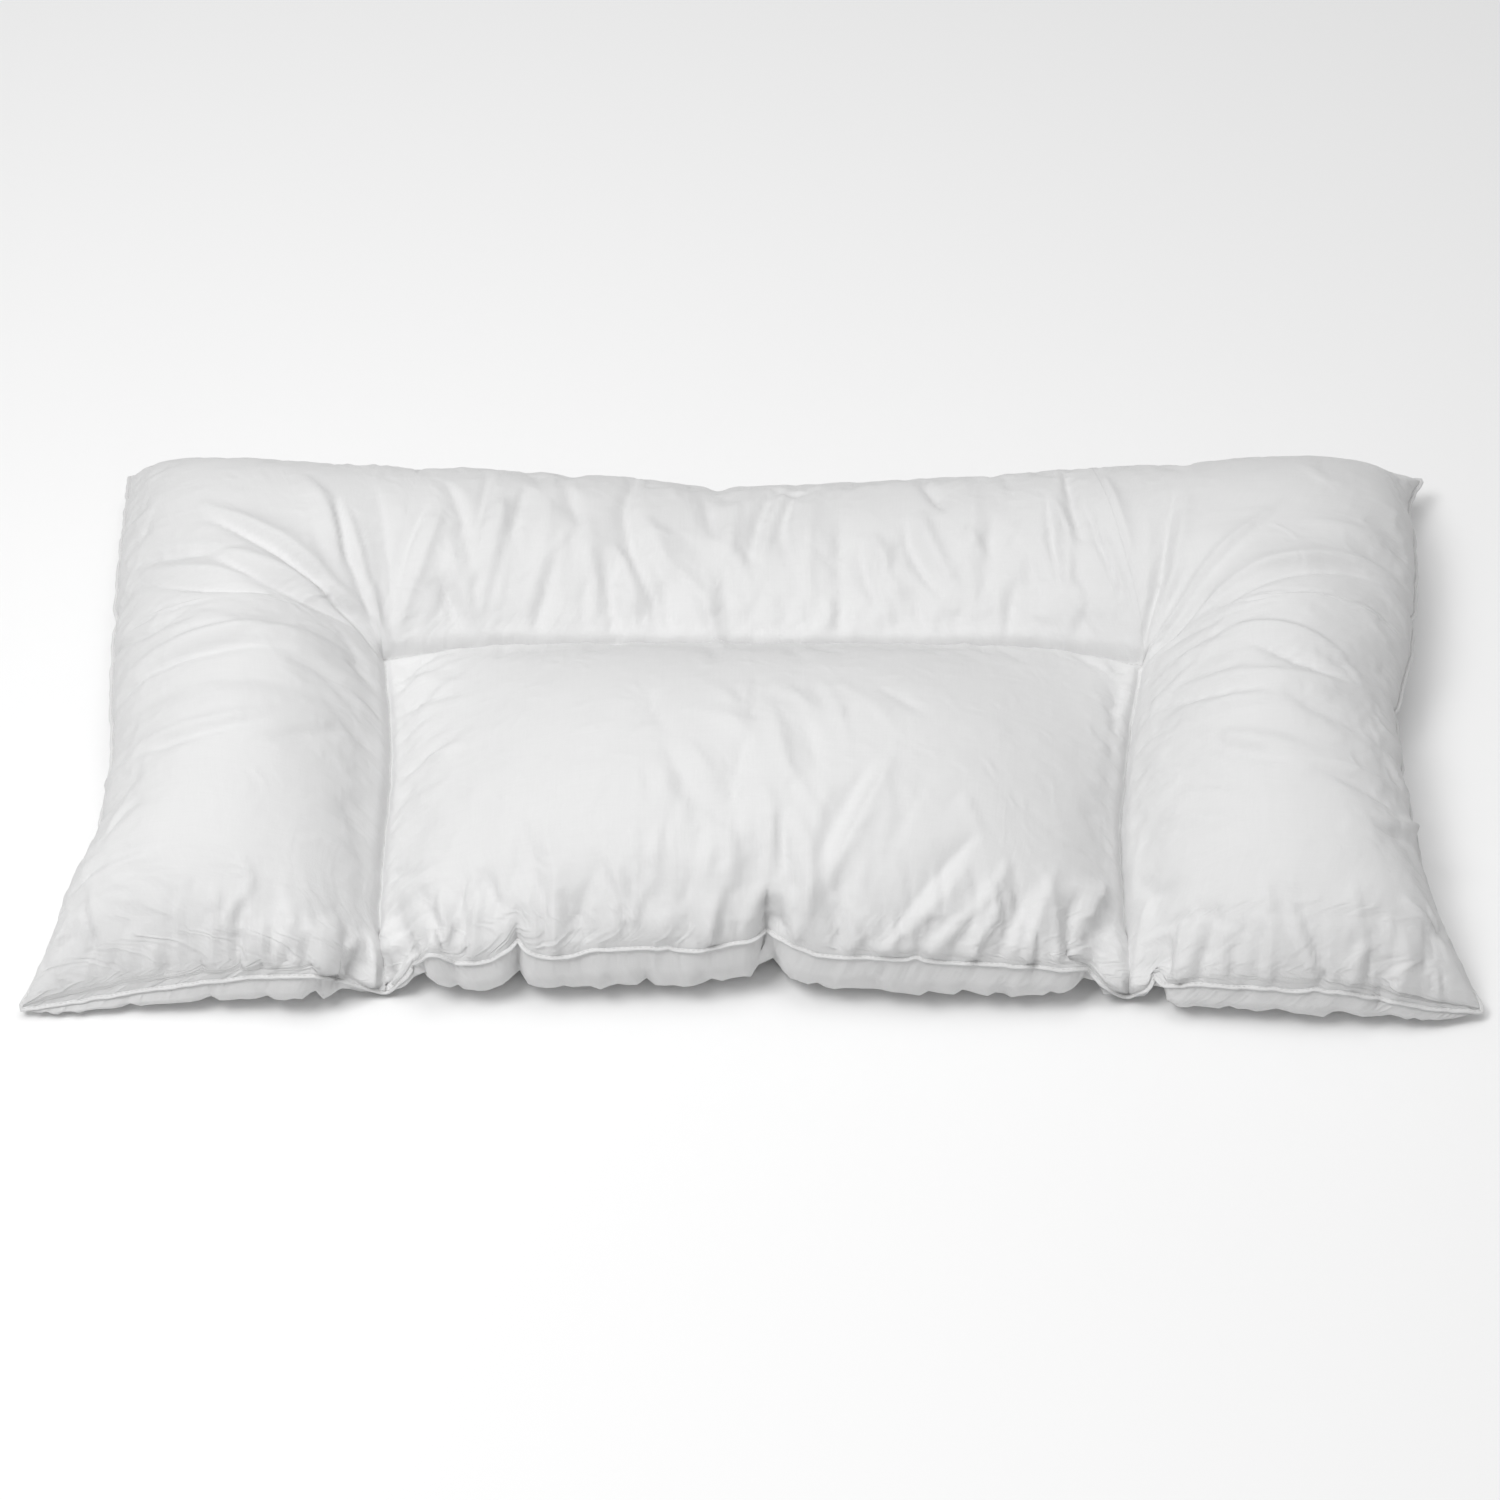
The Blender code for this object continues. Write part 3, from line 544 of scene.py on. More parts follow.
def crown_height(flat, on_pad):
    """Blend the crown heights of each place's chamber by their nearness."""
    high = np.zeros(len(flat))
    for crowns, chamber in ((PAD_CROWNS, on_pad), (BOLSTER_CROWNS, ~on_pad)):
        total = np.zeros(chamber.sum())
        weights = np.zeros(chamber.sum())
        for crown in crowns:
            away = flat[chamber] - np.array((crown.flat_x, crown.flat_y)) * MM
            weight = 1 / ((away ** 2).sum(axis=1) + CROWN_BLEND ** 2) ** 2
            total += weight * crown.high * MM
            weights += weight
        high[chamber] = total / weights
    return high


def rise(distance, reach, slope):
    """Return how far the filling has risen at a distance from one of its seams, from 0 to 1."""
    return (1 - (1 - np.clip(distance / reach, 0, 1)) ** 2) ** slope


def fullness(flat, on_pad, reach):
    """Return from 0 at a seam to 1 where the filling has risen to its full height."""
    flat_x, flat_y = flat[:, 0], flat[:, 1]
    front = rise(HALF_DEPTH + flat_y, reach.front, EDGE_SLOPE)
    pad = (front * rise(flat_x + PAD_HALF_WIDTH, reach.pad_side, CHANNEL_SLOPE)
           * rise(PAD_HALF_WIDTH - flat_x, reach.pad_side, CHANNEL_SLOPE)
           * rise(PAD_BACK - flat_y, reach.pad_back, CHANNEL_SLOPE))
    beside = np.maximum(np.abs(flat_x) - PAD_HALF_WIDTH, 0) / reach.arm
    behind = np.maximum(flat_y - PAD_BACK, 0) / reach.back
    bolster = (front * rise(HALF_WIDTH - np.abs(flat_x), reach.arm, EDGE_SLOPE)
               * rise(HALF_DEPTH - flat_y, reach.back, EDGE_SLOPE)
               * rise(np.hypot(beside, behind), 1, CHANNEL_SLOPE))
    return np.where(on_pad, pad, bolster)


def on_rim(flat):
    """Tell which places lie on the sewn edge of the panels."""
    return ((HALF_WIDTH - np.abs(flat[:, 0]) < ON_SEAM)
            | (HALF_DEPTH - np.abs(flat[:, 1]) < ON_SEAM))


def filled_places(flat, upper):
    """Return where places on the upper or lower panel lie once it is filled."""
    distances, drifts, on_pad = seams_round(flat)
    sewn = distances.min(axis=1) < ON_SEAM
    weights = np.maximum(distances, ON_SEAM) ** -DRIFT_POWER
    drift = (weights[:, :, None] * drifts).sum(axis=1) / weights.sum(axis=1)[:, None]
    nearest = drifts[np.arange(len(flat)), distances.argmin(axis=1)]
    drift[sewn] = nearest[sewn]
    places = np.column_stack((flat, np.zeros(len(flat)))) + drift
    stitched_through = sewn & ~on_rim(flat)
    if upper:
        full = fullness(flat, on_pad, UPPER_REACH)
        climb = (crown_height(flat, on_pad) - places[:, 2]) * full
        to_channel = np.where(on_pad, distances[:, 1:].min(axis=1), distances[:, 3])
        shoulder = 1 - np.exp(-(to_channel / SHOULDER_START) ** 2)
        shoulder *= np.exp(-to_channel / SHOULDER_REACH)
        shoulder *= rise(HALF_DEPTH + flat[:, 1], UPPER_REACH.front, EDGE_SLOPE)
        places[:, 2] += np.where(sewn, 0, climb + SHOULDER_HEIGHT * shoulder)
        places[stitched_through, 2] += SEAM_THICKNESS / 2
    else:
        full = fullness(flat, on_pad, LOWER_REACH)
        front = rise(HALF_DEPTH + flat[:, 1], LOWER_REACH.front, EDGE_SLOPE)
        # Four times a share by its rest is 1 halfway up
        places[:, 1] -= LOWER_BULGE * np.where(sewn, 0, 4 * full * (1 - front))
        places[:, 2] *= np.where(sewn, 1, 1 - full)
        places[stitched_through, 2] -= SEAM_THICKNESS / 2
    return places


def fold_lifts(flat, folds):
    """Return how far the folds lift the cover, or sink it below zero, at flat places."""
    lift = np.zeros(len(flat))
    steps = np.linspace(0, 1, FOLD_STEPS)[:, None]
    leans = np.random.default_rng(LEAN_SEED).choice((-1, 1), len(folds))
    ends = np.array([(fold.start_x, fold.start_y, fold.end_x, fold.end_y) for fold in folds])
    to_rim = (HALF_WIDTH, HALF_DEPTH) - np.abs(ends.reshape(-1, 2, 2)) * MM
    in_rim = to_rim.min(axis=2) < OPEN_END
    for fold, lean, (start_open, end_open) in zip(folds, leans, in_rim):
        start = np.array((fold.start_x, fold.start_y)) * MM
        end = np.array((fold.end_x, fold.end_y)) * MM
        run = end - start
        sideways = np.array((-run[1], run[0])) / np.linalg.norm(run)
        # A curve passes halfway between its straight chord and its control point
        middle = (start + end) / 2 + 2 * fold.bow * MM * sideways
        line = start * (1 - steps) ** 2 + 2 * middle * steps * (1 - steps) + end * steps ** 2
        half_width = fold.half_width * MM
        low = line.min(axis=0) - FOLD_REACH * half_width
        high = line.max(axis=0) + FOLD_REACH * half_width
        near = np.nonzero(((flat > low) & (flat < high)).all(axis=1))[0]
        legs = np.diff(line, axis=0)
        from_start = flat[near][:, None, :] - line[:-1]
        share = np.clip((from_start * legs).sum(axis=2) / (legs ** 2).sum(axis=1), 0, 1)
        gaps = from_start - legs * share[:, :, None]
        apart = np.linalg.norm(gaps, axis=2)
        leg = apart.argmin(axis=1)
        picked = np.arange(len(near)), leg
        along = (leg + share[picked]) / (FOLD_STEPS - 1)
        side = np.sign(gaps[picked] @ sideways)
        taper = FOLD_TIP + (1 - FOLD_TIP) * np.sin(math.pi * along)
        breadth = half_width * taper * np.where(side == lean, FOLD_LEAN, 1 / FOLD_LEAN)
        away = apart[picked] / breadth
        closeness = np.exp(-away ** (GROOVE_SHARPNESS if fold.lift < 0 else RIDGE_SHARPNESS))
        # An open end starts halfway along the half wave, at its top
        fade_from = 0.5 if start_open else FOLD_FADE
        fade_till = 0.5 if end_open else 1 - FOLD_FADE
        fade = np.sin(math.pi * (fade_from + (fade_till - fade_from) * along))
        lift[near] += fold.lift * MM * closeness * fade
    most = np.where(lift < 0, DEEPEST_GROOVE, HIGHEST_RIDGE)
    return most * np.tanh(lift / most)


def gathered_folds(gathers, seed):
    """Return short uneven folds that run out from the seams, row by row of gathers."""
    chance = np.random.default_rng(seed)
    folds = []
    for gather in gathers:
        start = np.array((gather.from_x, gather.from_y), float)
        run = np.array((gather.till_x, gather.till_y), float) - start
        far = np.linalg.norm(run)
        place = gather.spacing * chance.uniform(*FIRST_STEP)
        while place < far:
            on_seam = start + run * place / far
            turn = math.radians(gather.heading + chance.normal(0, gather.spread))
            length = gather.length * chance.uniform(*GATHER_LENGTHS)
            heading = np.array((math.cos(turn), math.sin(turn)))
            off_seam = on_seam + heading * length * max(0, chance.uniform(*GATHER_STARTS))
            end = off_seam + heading * length
            lift = gather.depth * chance.uniform(*GATHER_DEPTHS) * chance.choice((-1, 1))
            folds.append(Fold(
                *off_seam, *end, length * chance.normal(0, GATHER_BOW),
                gather.half_width * chance.uniform(*GATHER_WIDTHS), lift))
            place += gather.spacing * chance.uniform(*NEXT_STEP)
    return folds


def eased_lines(start, end, count, crowding):
    """Return grid lines from start up to end, which crowd together near both ends."""
    along = np.arange(count) / count
    eased = (1 - np.cos(math.pi * along)) / 2
    return start + (end - start) * ((1 - crowding) * along + crowding * eased)


def flat_grid(step):
    """Return the flat places of every step-th grid line of a panel, row by row."""
    columns = np.concatenate((
        eased_lines(-HALF_WIDTH, -PAD_HALF_WIDTH, ARM_COLUMNS, ARM_CROWDING),
        eased_lines(-PAD_HALF_WIDTH, PAD_HALF_WIDTH, PAD_COLUMNS, PAD_CROWDING),
        eased_lines(PAD_HALF_WIDTH, HALF_WIDTH, ARM_COLUMNS, ARM_CROWDING),
        (HALF_WIDTH,)))[::step]
    rows = np.concatenate((
        eased_lines(-HALF_DEPTH, PAD_BACK, PAD_ROWS, ROW_CROWDING),
        eased_lines(PAD_BACK, HALF_DEPTH, BACK_ROWS, ROW_CROWDING), (HALF_DEPTH,)))[::step]
    return np.stack(np.meshgrid(columns, rows), axis=-1)


def outward(panel, upper):
    """Return the direction square to a panel at each of its points, away from the filling."""
    across = np.gradient(panel, axis=1)
    deep = np.gradient(panel, axis=0)
    normal = np.cross(across, deep) * (1 if upper else -1)
    return normal / np.linalg.norm(normal, axis=2, keepdims=True)


def creased_panel(flat, upper, creases, settled=0):
    """Return the places of a filled panel with its folds, row by row.

    The creases are pairs of a list of folds and the share of their depth that is used. The
    settled cloth's own lift is added to theirs.
    """
    places = flat.reshape(-1, 2)
    panel = filled_places(places, upper).reshape(*flat.shape[:2], 3)
    nearest = seams_round(places)[0].min(axis=1)
    lift = sum(amount * fold_lifts(places, folds) for folds, amount in creases)
    lift *= 1 - np.exp(-(nearest / SEAM_HOLD) ** 2)
    lift = lift.reshape(flat.shape[:2]) + settled
    panel += outward(panel, upper) * lift[:, :, None]
    panel[:, :, 2] = np.maximum(panel[:, :, 2], 0)
    return panel


def smooth_mesh(name, places, faces):
    """Return a smoothly shaded mesh of places and faces."""
    mesh = bpy.data.meshes.new(name)
    mesh.from_pydata(places, [], faces)
    mesh.shade_smooth()
    return mesh


def linked_object(name, data):
    """Put a mesh, a light or a camera into the scene, and return its object."""
    holder = bpy.data.objects.new(name, data)
    bpy.context.scene.collection.objects.link(holder)
    return holder


def split_at_corner(face, below, row, column):
    """Split a corner face of the lower panel in two, so that none lies on an upper one."""
    corner = below[row and row + 1, column and column + 1]
    inner = below[row or 1, column or 1]
    first = face.index(corner)
    turned = face[first:] + face[:first]
    middle = turned.index(inner)
    return [turned[:middle + 1], [corner, *turned[middle:]]]


def sewn_mesh(name, upper, lower):
    """Return one closed mesh of both panels. The lower one may have half the lines."""
    rows, columns = upper.shape[:2]
    step = (columns - 1) // (lower.shape[1] - 1)
    above = np.arange(rows * columns).reshape(rows, columns)
    below = above[::step, ::step].copy()
    inner = below[1:-1, 1:-1]
    below[1:-1, 1:-1] = above.size + np.arange(inner.size).reshape(inner.shape)
    places = np.vstack((upper.reshape(-1, 3), lower[1:-1, 1:-1].reshape(-1, 3)))
    corners = (above[:-1, :-1], above[:-1, 1:], above[1:, 1:], above[1:, :-1])
    faces = np.stack(corners, axis=-1).reshape(-1, 4).tolist()
    last_row, last_column = below.shape[0] - 2, below.shape[1] - 2
    for row in range(last_row + 1):
        for column in range(last_column + 1):
            face = [below[row, column]]
            if column == 0:
                face += above[step * row + 1:step * (row + 1), 0].tolist()
            face.append(below[row + 1, column])
            if row == last_row:
                face += above[-1, step * column + 1:step * (column + 1)].tolist()
            face.append(below[row + 1, column + 1])
            if column == last_column:
                face += above[step * row + 1:step * (row + 1), -1].tolist()
            face.append(below[row, column + 1])
            if row == 0:
                face += above[0, step * column + 1:step * (column + 1)].tolist()
            if row in (0, last_row) and column in (0, last_column):
                faces += split_at_corner(face, below, row, column)
            else:
                faces.append(face)
    return smooth_mesh(name, places, faces)


def held_points(flat):
    """Return how firmly the points of the joined panels are held while the cover settles."""
    places = flat.reshape(-1, 2)
    distances, _, on_pad = seams_round(places)
    sewn = distances.min(axis=1) < ON_SEAM
    resting = fullness(places, on_pad, LOWER_REACH) > RESTING
    shape = flat.shape[:2]
    lower = (sewn | resting).reshape(shape)[1:-1, 1:-1]
    return np.concatenate((sewn, lower.ravel()))


def settled_cover(flat, upper, lower, sizes):
    """Press the cover out from inside, and return how far the upper panel has lifted.

    Only its movement square to the panel is kept, and less of it near a seam.
    """
    mesh = sewn_mesh("settling_cover", upper, lower)
    cover = linked_object("settling_cover", mesh)
    held = cover.vertex_groups.new(name="held")
    held.add(np.nonzero(held_points(flat))[0].tolist(), 1, "ADD")
    cloth = cover.modifiers.new("Percale", "CLOTH")
    settings = cloth.settings
    for setting, value in CLOTH_SETTINGS.items():
        setattr(settings, setting, value)
    settings.vertex_group_mass = held.name
    settings.uniform_pressure_force = sizes.filling_pressure
    settings.shrink_min = -sizes.cloth_to_spare
    settings.effector_weights.gravity = 0
    cloth.collision_settings.use_collision = False
    cloth.point_cache.frame_start = 1
    cloth.point_cache.frame_end = sizes.settling_frames
    for step in range(1, sizes.settling_frames + 1):
        bpy.context.scene.frame_set(step)
    settled = cover.evaluated_get(bpy.context.evaluated_depsgraph_get()).to_mesh()
    places = np.empty(len(settled.vertices) * 3)
    settled.vertices.foreach_get("co", places)
    bpy.data.objects.remove(cover)
    bpy.data.meshes.remove(mesh)
    bpy.context.scene.frame_set(1)
    moved = places.reshape(-1, 3)[:upper.shape[0] * upper.shape[1]].reshape(upper.shape) - upper
    lift = (moved * outward(upper, True)).sum(axis=2)
    nearest = seams_round(flat.reshape(-1, 2))[0].min(axis=1).reshape(lift.shape)
    lift *= 1 - np.exp(-(nearest / SETTLED_FADE) ** 2)
    return sizes.most_movement * np.tanh(lift / sizes.most_movement)


def refined(values):
    """Return values with one more line smoothly put between each two, in both directions."""
    for axis in (0, 1):
        values = np.moveaxis(values, axis, 0)
        before = 2 * values[:1] - values[1:2]
        after = 2 * values[-1:] - values[-2:-1]
        padded = np.concatenate((before, values, after))
        between = (9 * (padded[1:-2] + padded[2:-1]) - padded[:-3] - padded[3:]) / 16
        finer = np.empty((2 * len(values) - 1, *values.shape[1:]))
        finer[::2] = values
        finer[1::2] = between
        values = np.moveaxis(finer, 0, axis)
    return values


def woven_places(panel):
    """Return how far along the cloth each point of a panel lies, across and deep."""
    across = np.zeros(panel.shape[:2])
    deep = np.zeros(panel.shape[:2])
    across[:, 1:] = np.linalg.norm(np.diff(panel, axis=1), axis=2).cumsum(axis=1)
    deep[1:] = np.linalg.norm(np.diff(panel, axis=0), axis=2).cumsum(axis=0)
    across -= across[:, across.shape[1] // 2][:, None]
    deep -= deep[deep.shape[0] // 2]
    return np.stack((across, deep), axis=-1).reshape(-1, 2)


def lay_map(mesh, name, places_by_corner):
    """Store a place on the cloth for each face corner, for the materials to read."""
    layer = mesh.uv_layers.new(name=name)
    layer.uv.foreach_set("vector", places_by_corner.astype(np.float32).ravel())


def corner_points(mesh):
    """Return the number of the point at each face corner."""
    points = np.empty(len(mesh.loops), np.int32)
    mesh.loops.foreach_get("vertex_index", points)
    return points


def nearest_seam(along, away):
    """Return how far along and away from the nearest of several seams each point lies.

    Halfway between two seams a point counts as far away, so that no pucker jumps there.
    """
    away = np.stack(away)
    nearest = np.argmin(away, axis=0)[None]
    closest, second = np.sort(away, axis=0)[:2]
    clear = np.clip((second - closest) / BETWEEN_SEAMS, MM, 1)
    along = np.take_along_axis(np.stack(along), nearest, axis=0)[0]
    return np.stack((along.ravel(), (closest / clear).ravel()), axis=-1)


def places_by_edge(panel):
    """Return how far along and away from its nearest edge each point of a panel lies."""
    across, deep = np.moveaxis(woven_places(panel).reshape(*panel.shape[:2], 2), 2, 0)
    return nearest_seam(
        (across, across + HALF_WIDTH, deep + 2 * HALF_WIDTH, deep + 3 * HALF_WIDTH),
        (deep - deep[:1], deep[-1:] - deep, across - across[:, :1], across[:, -1:] - across))


def places_by_channel(panel):
    """Return how far along and away from the sewn U each point of a panel lies."""
    across, deep = np.moveaxis(woven_places(panel).reshape(*panel.shape[:2], 2), 2, 0)
    step = (2 * ARM_COLUMNS + PAD_COLUMNS) // (panel.shape[1] - 1)
    left, right = ARM_COLUMNS // step, (ARM_COLUMNS + PAD_COLUMNS) // step
    back = PAD_ROWS // step
    columns = np.arange(panel.shape[1])
    behind = np.maximum(deep - deep[back], 0)
    from_left = np.abs(across - across[:, left:left + 1])
    from_right = np.abs(across - across[:, right:right + 1])
    beside = (columns < left) | (columns > right)
    from_back = np.where(beside, HALF_WIDTH, np.abs(deep - deep[back]))
    fan_left = FAN_RADIUS * np.arctan2(behind, from_left)
    fan_right = FAN_RADIUS * np.arctan2(behind, from_right)
    return nearest_seam(
        (np.minimum(deep, deep[back]) + fan_left, across + HALF_WIDTH,
         np.minimum(deep, deep[back]) + fan_right + 2 * HALF_WIDTH),
        (np.hypot(from_left, behind), from_back, np.hypot(from_right, behind)))


def lay_cover_map(mesh, name, upper, lower, places_of):
    """Lay a map on both panels of the cover, each by its own cloth."""
    rows, columns = upper.shape[:2]
    lower_places = places_of(lower).reshape(*lower.shape[:2], 2)
    step = (columns - 1) // (lower.shape[1] - 1)
    rim = np.zeros((rows, columns, 2))
    lower_lines = np.arange(0, columns, step), np.arange(0, rows, step)
    for edge in (0, -1):
        for axis in (0, 1):
            rim[edge, :, axis] = np.interp(
                np.arange(columns), lower_lines[0], lower_places[edge, :, axis])
            rim[:, edge, axis] = np.interp(
                np.arange(rows), lower_lines[1], lower_places[:, edge, axis])
    below = np.vstack((rim.reshape(-1, 2), lower_places[1:-1, 1:-1].reshape(-1, 2)))
    above = np.vstack((places_of(upper), np.zeros((len(below) - rows * columns, 2))))
    points = corner_points(mesh)
    upper_corners = 4 * (rows - 1) * (columns - 1)
    lay_map(mesh, name, np.vstack((above[points[:upper_corners]], below[points[upper_corners:]])))


def evenly_spaced(line, spacing, closed=False):
    """Return a line's places an even distance apart, and how far along each of them lies.

    Any values after a place's X, Y and Z are carried along with it.
    """
    if closed:
        line = np.vstack((line, line[:1]))
    steps = np.linalg.norm(np.diff(line[:, :3], axis=0), axis=1)
    far = np.concatenate(((0,), steps.cumsum()))
    stops = np.linspace(0, far[-1], round(far[-1] / spacing), endpoint=not closed)
    values = [np.interp(stops, far, column) for column in line.T]
    return np.column_stack(values), stops


def rim_line(panel):
    """Return the places round the sewn edge of a panel, as a closed loop seen from above."""
    return np.vstack((panel[0, :-1], panel[:-1, -1], panel[-1, :0:-1], panel[:0:-1, 0]))


def tube_faces(rings, sides, closed):
    """Return the faces between rings of points, each of them joined to the next."""
    ring = np.arange(rings if closed else rings - 1)[:, None]
    side = np.arange(sides)[None, :]
    after = (ring + 1) % rings
    beside = (side + 1) % sides
    faces = np.stack((
        ring * sides + side, after * sides + side,
        after * sides + beside, ring * sides + beside), axis=-1)
    return faces.reshape(-1, 4)


def unit(vectors):
    """Return vectors of length one."""
    return vectors / np.linalg.norm(vectors, axis=-1, keepdims=True)


def piping_line(rim):
    """Return the piping's middle, how far along it lies, and its directions out and up."""
    middle, far = evenly_spaced(rim, PIPING_STEP, closed=True)
    along = unit(np.roll(middle, -1, axis=0) - np.roll(middle, 1, axis=0))
    out = unit(np.column_stack((along[:, 1], -along[:, 0], np.zeros(len(along)))))
    up = np.cross(out, along)
    sway = (PIPING_SWAY * ripple(far, SWAY_SEED))[:, None]
    middle = middle + out * PIPING_SET + up * sway
    return middle, far, out, up


def piping_mesh(rim, width, thickness):
    """Return the flat piping that is sewn round the edge, with its small gathers."""
    middle, far, out, up = piping_line(rim)
    swell = 1 + PIPING_GATHER * ripple(far, SWELL_SEED)
    turns = 2 * math.pi * np.arange(PIPING_SIDES) / PIPING_SIDES
    wide = width / 2 * np.cos(turns)[:, None] * out[:, None]
    thick = thickness / 2 * np.sin(turns)[:, None] * up[:, None]
    places = middle[:, None] + swell[:, None, None] * (wide + thick)
    faces = tube_faces(len(middle), PIPING_SIDES, closed=True)
    mesh = smooth_mesh("edge_piping", places.reshape(-1, 3), faces.tolist())
    ring = corner_points(mesh).reshape(-1, 4)
    lap = far[ring // PIPING_SIDES].ravel()
    wrap = (ring % PIPING_SIDES).ravel() * (width + thickness) / 2 * math.pi / PIPING_SIDES
    lay_map(mesh, WEAVE_MAP, np.column_stack((lap + wrap, lap - wrap)) / math.sqrt(2))
    return mesh


def stitches_mesh(name, seams, sizes):
    """Return a row of thread stitches along each seam, half sunk in the cloth.

    A seam is a line of places, each with the direction that its cloth faces.
    """
    places = []
    faces = []
    for seam in seams:
        spaced, _ = evenly_spaced(seam, sizes.stitch_length + sizes.stitch_gap)
        runs = unit(np.diff(spaced[:, :3], axis=0))
        sides = unit(np.cross(runs, spaced[:-1, 3:]))
        for start, run, side in zip(spaced[:-1, :3], runs, sides):
            up = np.cross(side, run)
            first = len(places)
            for share, swell, sink in STITCH_RINGS:
                middle = start + run * sizes.stitch_length * share
                middle = middle + up * sizes.thread_diameter * sink
                for turn in 2 * math.pi * np.arange(STITCH_SIDES) / STITCH_SIDES:
                    round_thread = math.cos(turn) * side + math.sin(turn) * up
                    places.append(middle + round_thread * sizes.thread_diameter / 2 * swell)
            ring_faces = tube_faces(len(STITCH_RINGS), STITCH_SIDES, closed=False) + first
            faces += ring_faces.tolist()
            faces.append(list(range(first, first + STITCH_SIDES)))
            faces.append(list(range(len(places) - 1, len(places) - 1 - STITCH_SIDES, -1)))
    return smooth_mesh(name, places, faces)


def panel_of(cover):
    """Return the places of the cover's upper panel, row by row."""
    places = np.empty(len(cover.data.vertices) * 3)
    cover.data.vertices.foreach_get("co", places)
    rows, columns = cover["rows"], cover["columns"]
    return places.reshape(-1, 3)[:rows * columns].reshape(rows, columns, 3)


def add_piece(name, mesh, material):
    """Put a finished piece into the scene, riding on the pillow."""
    mesh.materials.append(material)
    piece = linked_object(name, mesh)
    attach(piece, "root")
    return piece


def new_group(name, inputs, outputs):
    """Return an empty shader node group, and its input and output nodes."""
    group = bpy.data.node_groups.new(name, "ShaderNodeTree")
    for label, kind, value in inputs:
        socket = group.interface.new_socket(label, in_out="INPUT", socket_type=kind)
        if value is not None:
            socket.default_value = value
    for label, kind in outputs:
        group.interface.new_socket(label, in_out="OUTPUT", socket_type=kind)
    return group, group.nodes.new("NodeGroupInput"), group.nodes.new("NodeGroupOutput")


def calculate(tree, operation, *values):
    """Add a math node to a tree, and return its result."""
    node = tree.nodes.new("ShaderNodeMath")
    node.operation = operation
    for socket, value in zip(node.inputs, values):
        if isinstance(value, bpy.types.NodeSocket):
            tree.links.new(value, socket)
        else:
            socket.default_value = value
    return node.outputs[0]


def scaled(tree, vector, scale):
    """Add a node that multiplies a vector by another, and return the result."""
    node = tree.nodes.new("ShaderNodeVectorMath")
    node.operation = "MULTIPLY"
    tree.links.new(vector, node.inputs[0])
    node.inputs[1].default_value = scale
    return node.outputs[0]


def noise(tree, vector, scale, detail=2.0, roughness=0.5, kind="FBM"):
    """Add a noise texture to a tree, and return its value."""
    node = tree.nodes.new("ShaderNodeTexNoise")
    node.noise_type = kind
    tree.links.new(vector, node.inputs["Vector"])
    node.inputs["Scale"].default_value = scale
    node.inputs["Detail"].default_value = detail
    node.inputs["Roughness"].default_value = roughness
    return node.outputs["Fac"]


def grained(tree, place, grain):
    """Add a node that measures a place in grains, along and across, and return it."""
    along, across = grain
    return scaled(tree, place, (1 / along, 1 / across, 1))


def build_percale_weave():
    """Build the plain weave of fine yarns, with the uneven thickness of spun cotton."""
    group, given, result = new_group("Percale weave", (
        ("Place", "NodeSocketVector", None), ("Yarn Spacing", "NodeSocketFloat", 0.45 * MM)), (
        ("Height", "NodeSocketFloat"), ("Slub", "NodeSocketFloat")))
    split = group.nodes.new("ShaderNodeSeparateXYZ")
    group.links.new(given.outputs["Place"], split.inputs[0])
    yarns = []
    for axis in ("X", "Y"):
        count = calculate(group, "DIVIDE", split.outputs[axis], given.outputs["Yarn Spacing"])
        yarns.append(calculate(group, "SINE", calculate(group, "MULTIPLY", count, math.pi)))
    over = calculate(group, "MULTIPLY", *yarns)
    round_yarns = calculate(group, "ABSOLUTE", over)
    height = calculate(group, "POWER", round_yarns, YARN_ROUNDNESS)
    place = given.outputs["Place"]
    warp = noise(group, grained(group, place, WARP_GRAIN), 1)
    weft = noise(group, grained(group, place, WEFT_GRAIN), 1)
    slub = calculate(group, "MULTIPLY", calculate(group, "ADD", warp, weft), 0.5)
    group.links.new(height, result.inputs["Height"])
    group.links.new(slub, result.inputs["Slub"])
    return group


def build_crumple():
    """Build the fine crumple that washing and packing leave in a crisp cotton."""
    group, given, result = new_group("Cotton crumple", (
        ("Place", "NodeSocketVector", None),), (("Height", "NodeSocketFloat"),))
    bend = noise(group, given.outputs["Place"], 1 / BEND_GRAIN, 1)
    shifted = group.nodes.new("ShaderNodeVectorMath")
    shifted.operation = "ADD"
    group.links.new(given.outputs["Place"], shifted.inputs[0])
    group.links.new(scaled(group, bend, 3 * (BEND,)), shifted.inputs[1])
    bent = shifted.outputs[0]
    broad = noise(group, bent, 1 / BROAD_CRUMPLE, 2, 0.5, "RIDGED_MULTIFRACTAL")
    fine = noise(group, bent, 1 / FINE_CRUMPLE, 2, 0.6, "RIDGED_MULTIFRACTAL")
    height = calculate(group, "ADD", broad, calculate(group, "MULTIPLY", fine, FINE_SHARE))
    group.links.new(height, result.inputs["Height"])
    return group


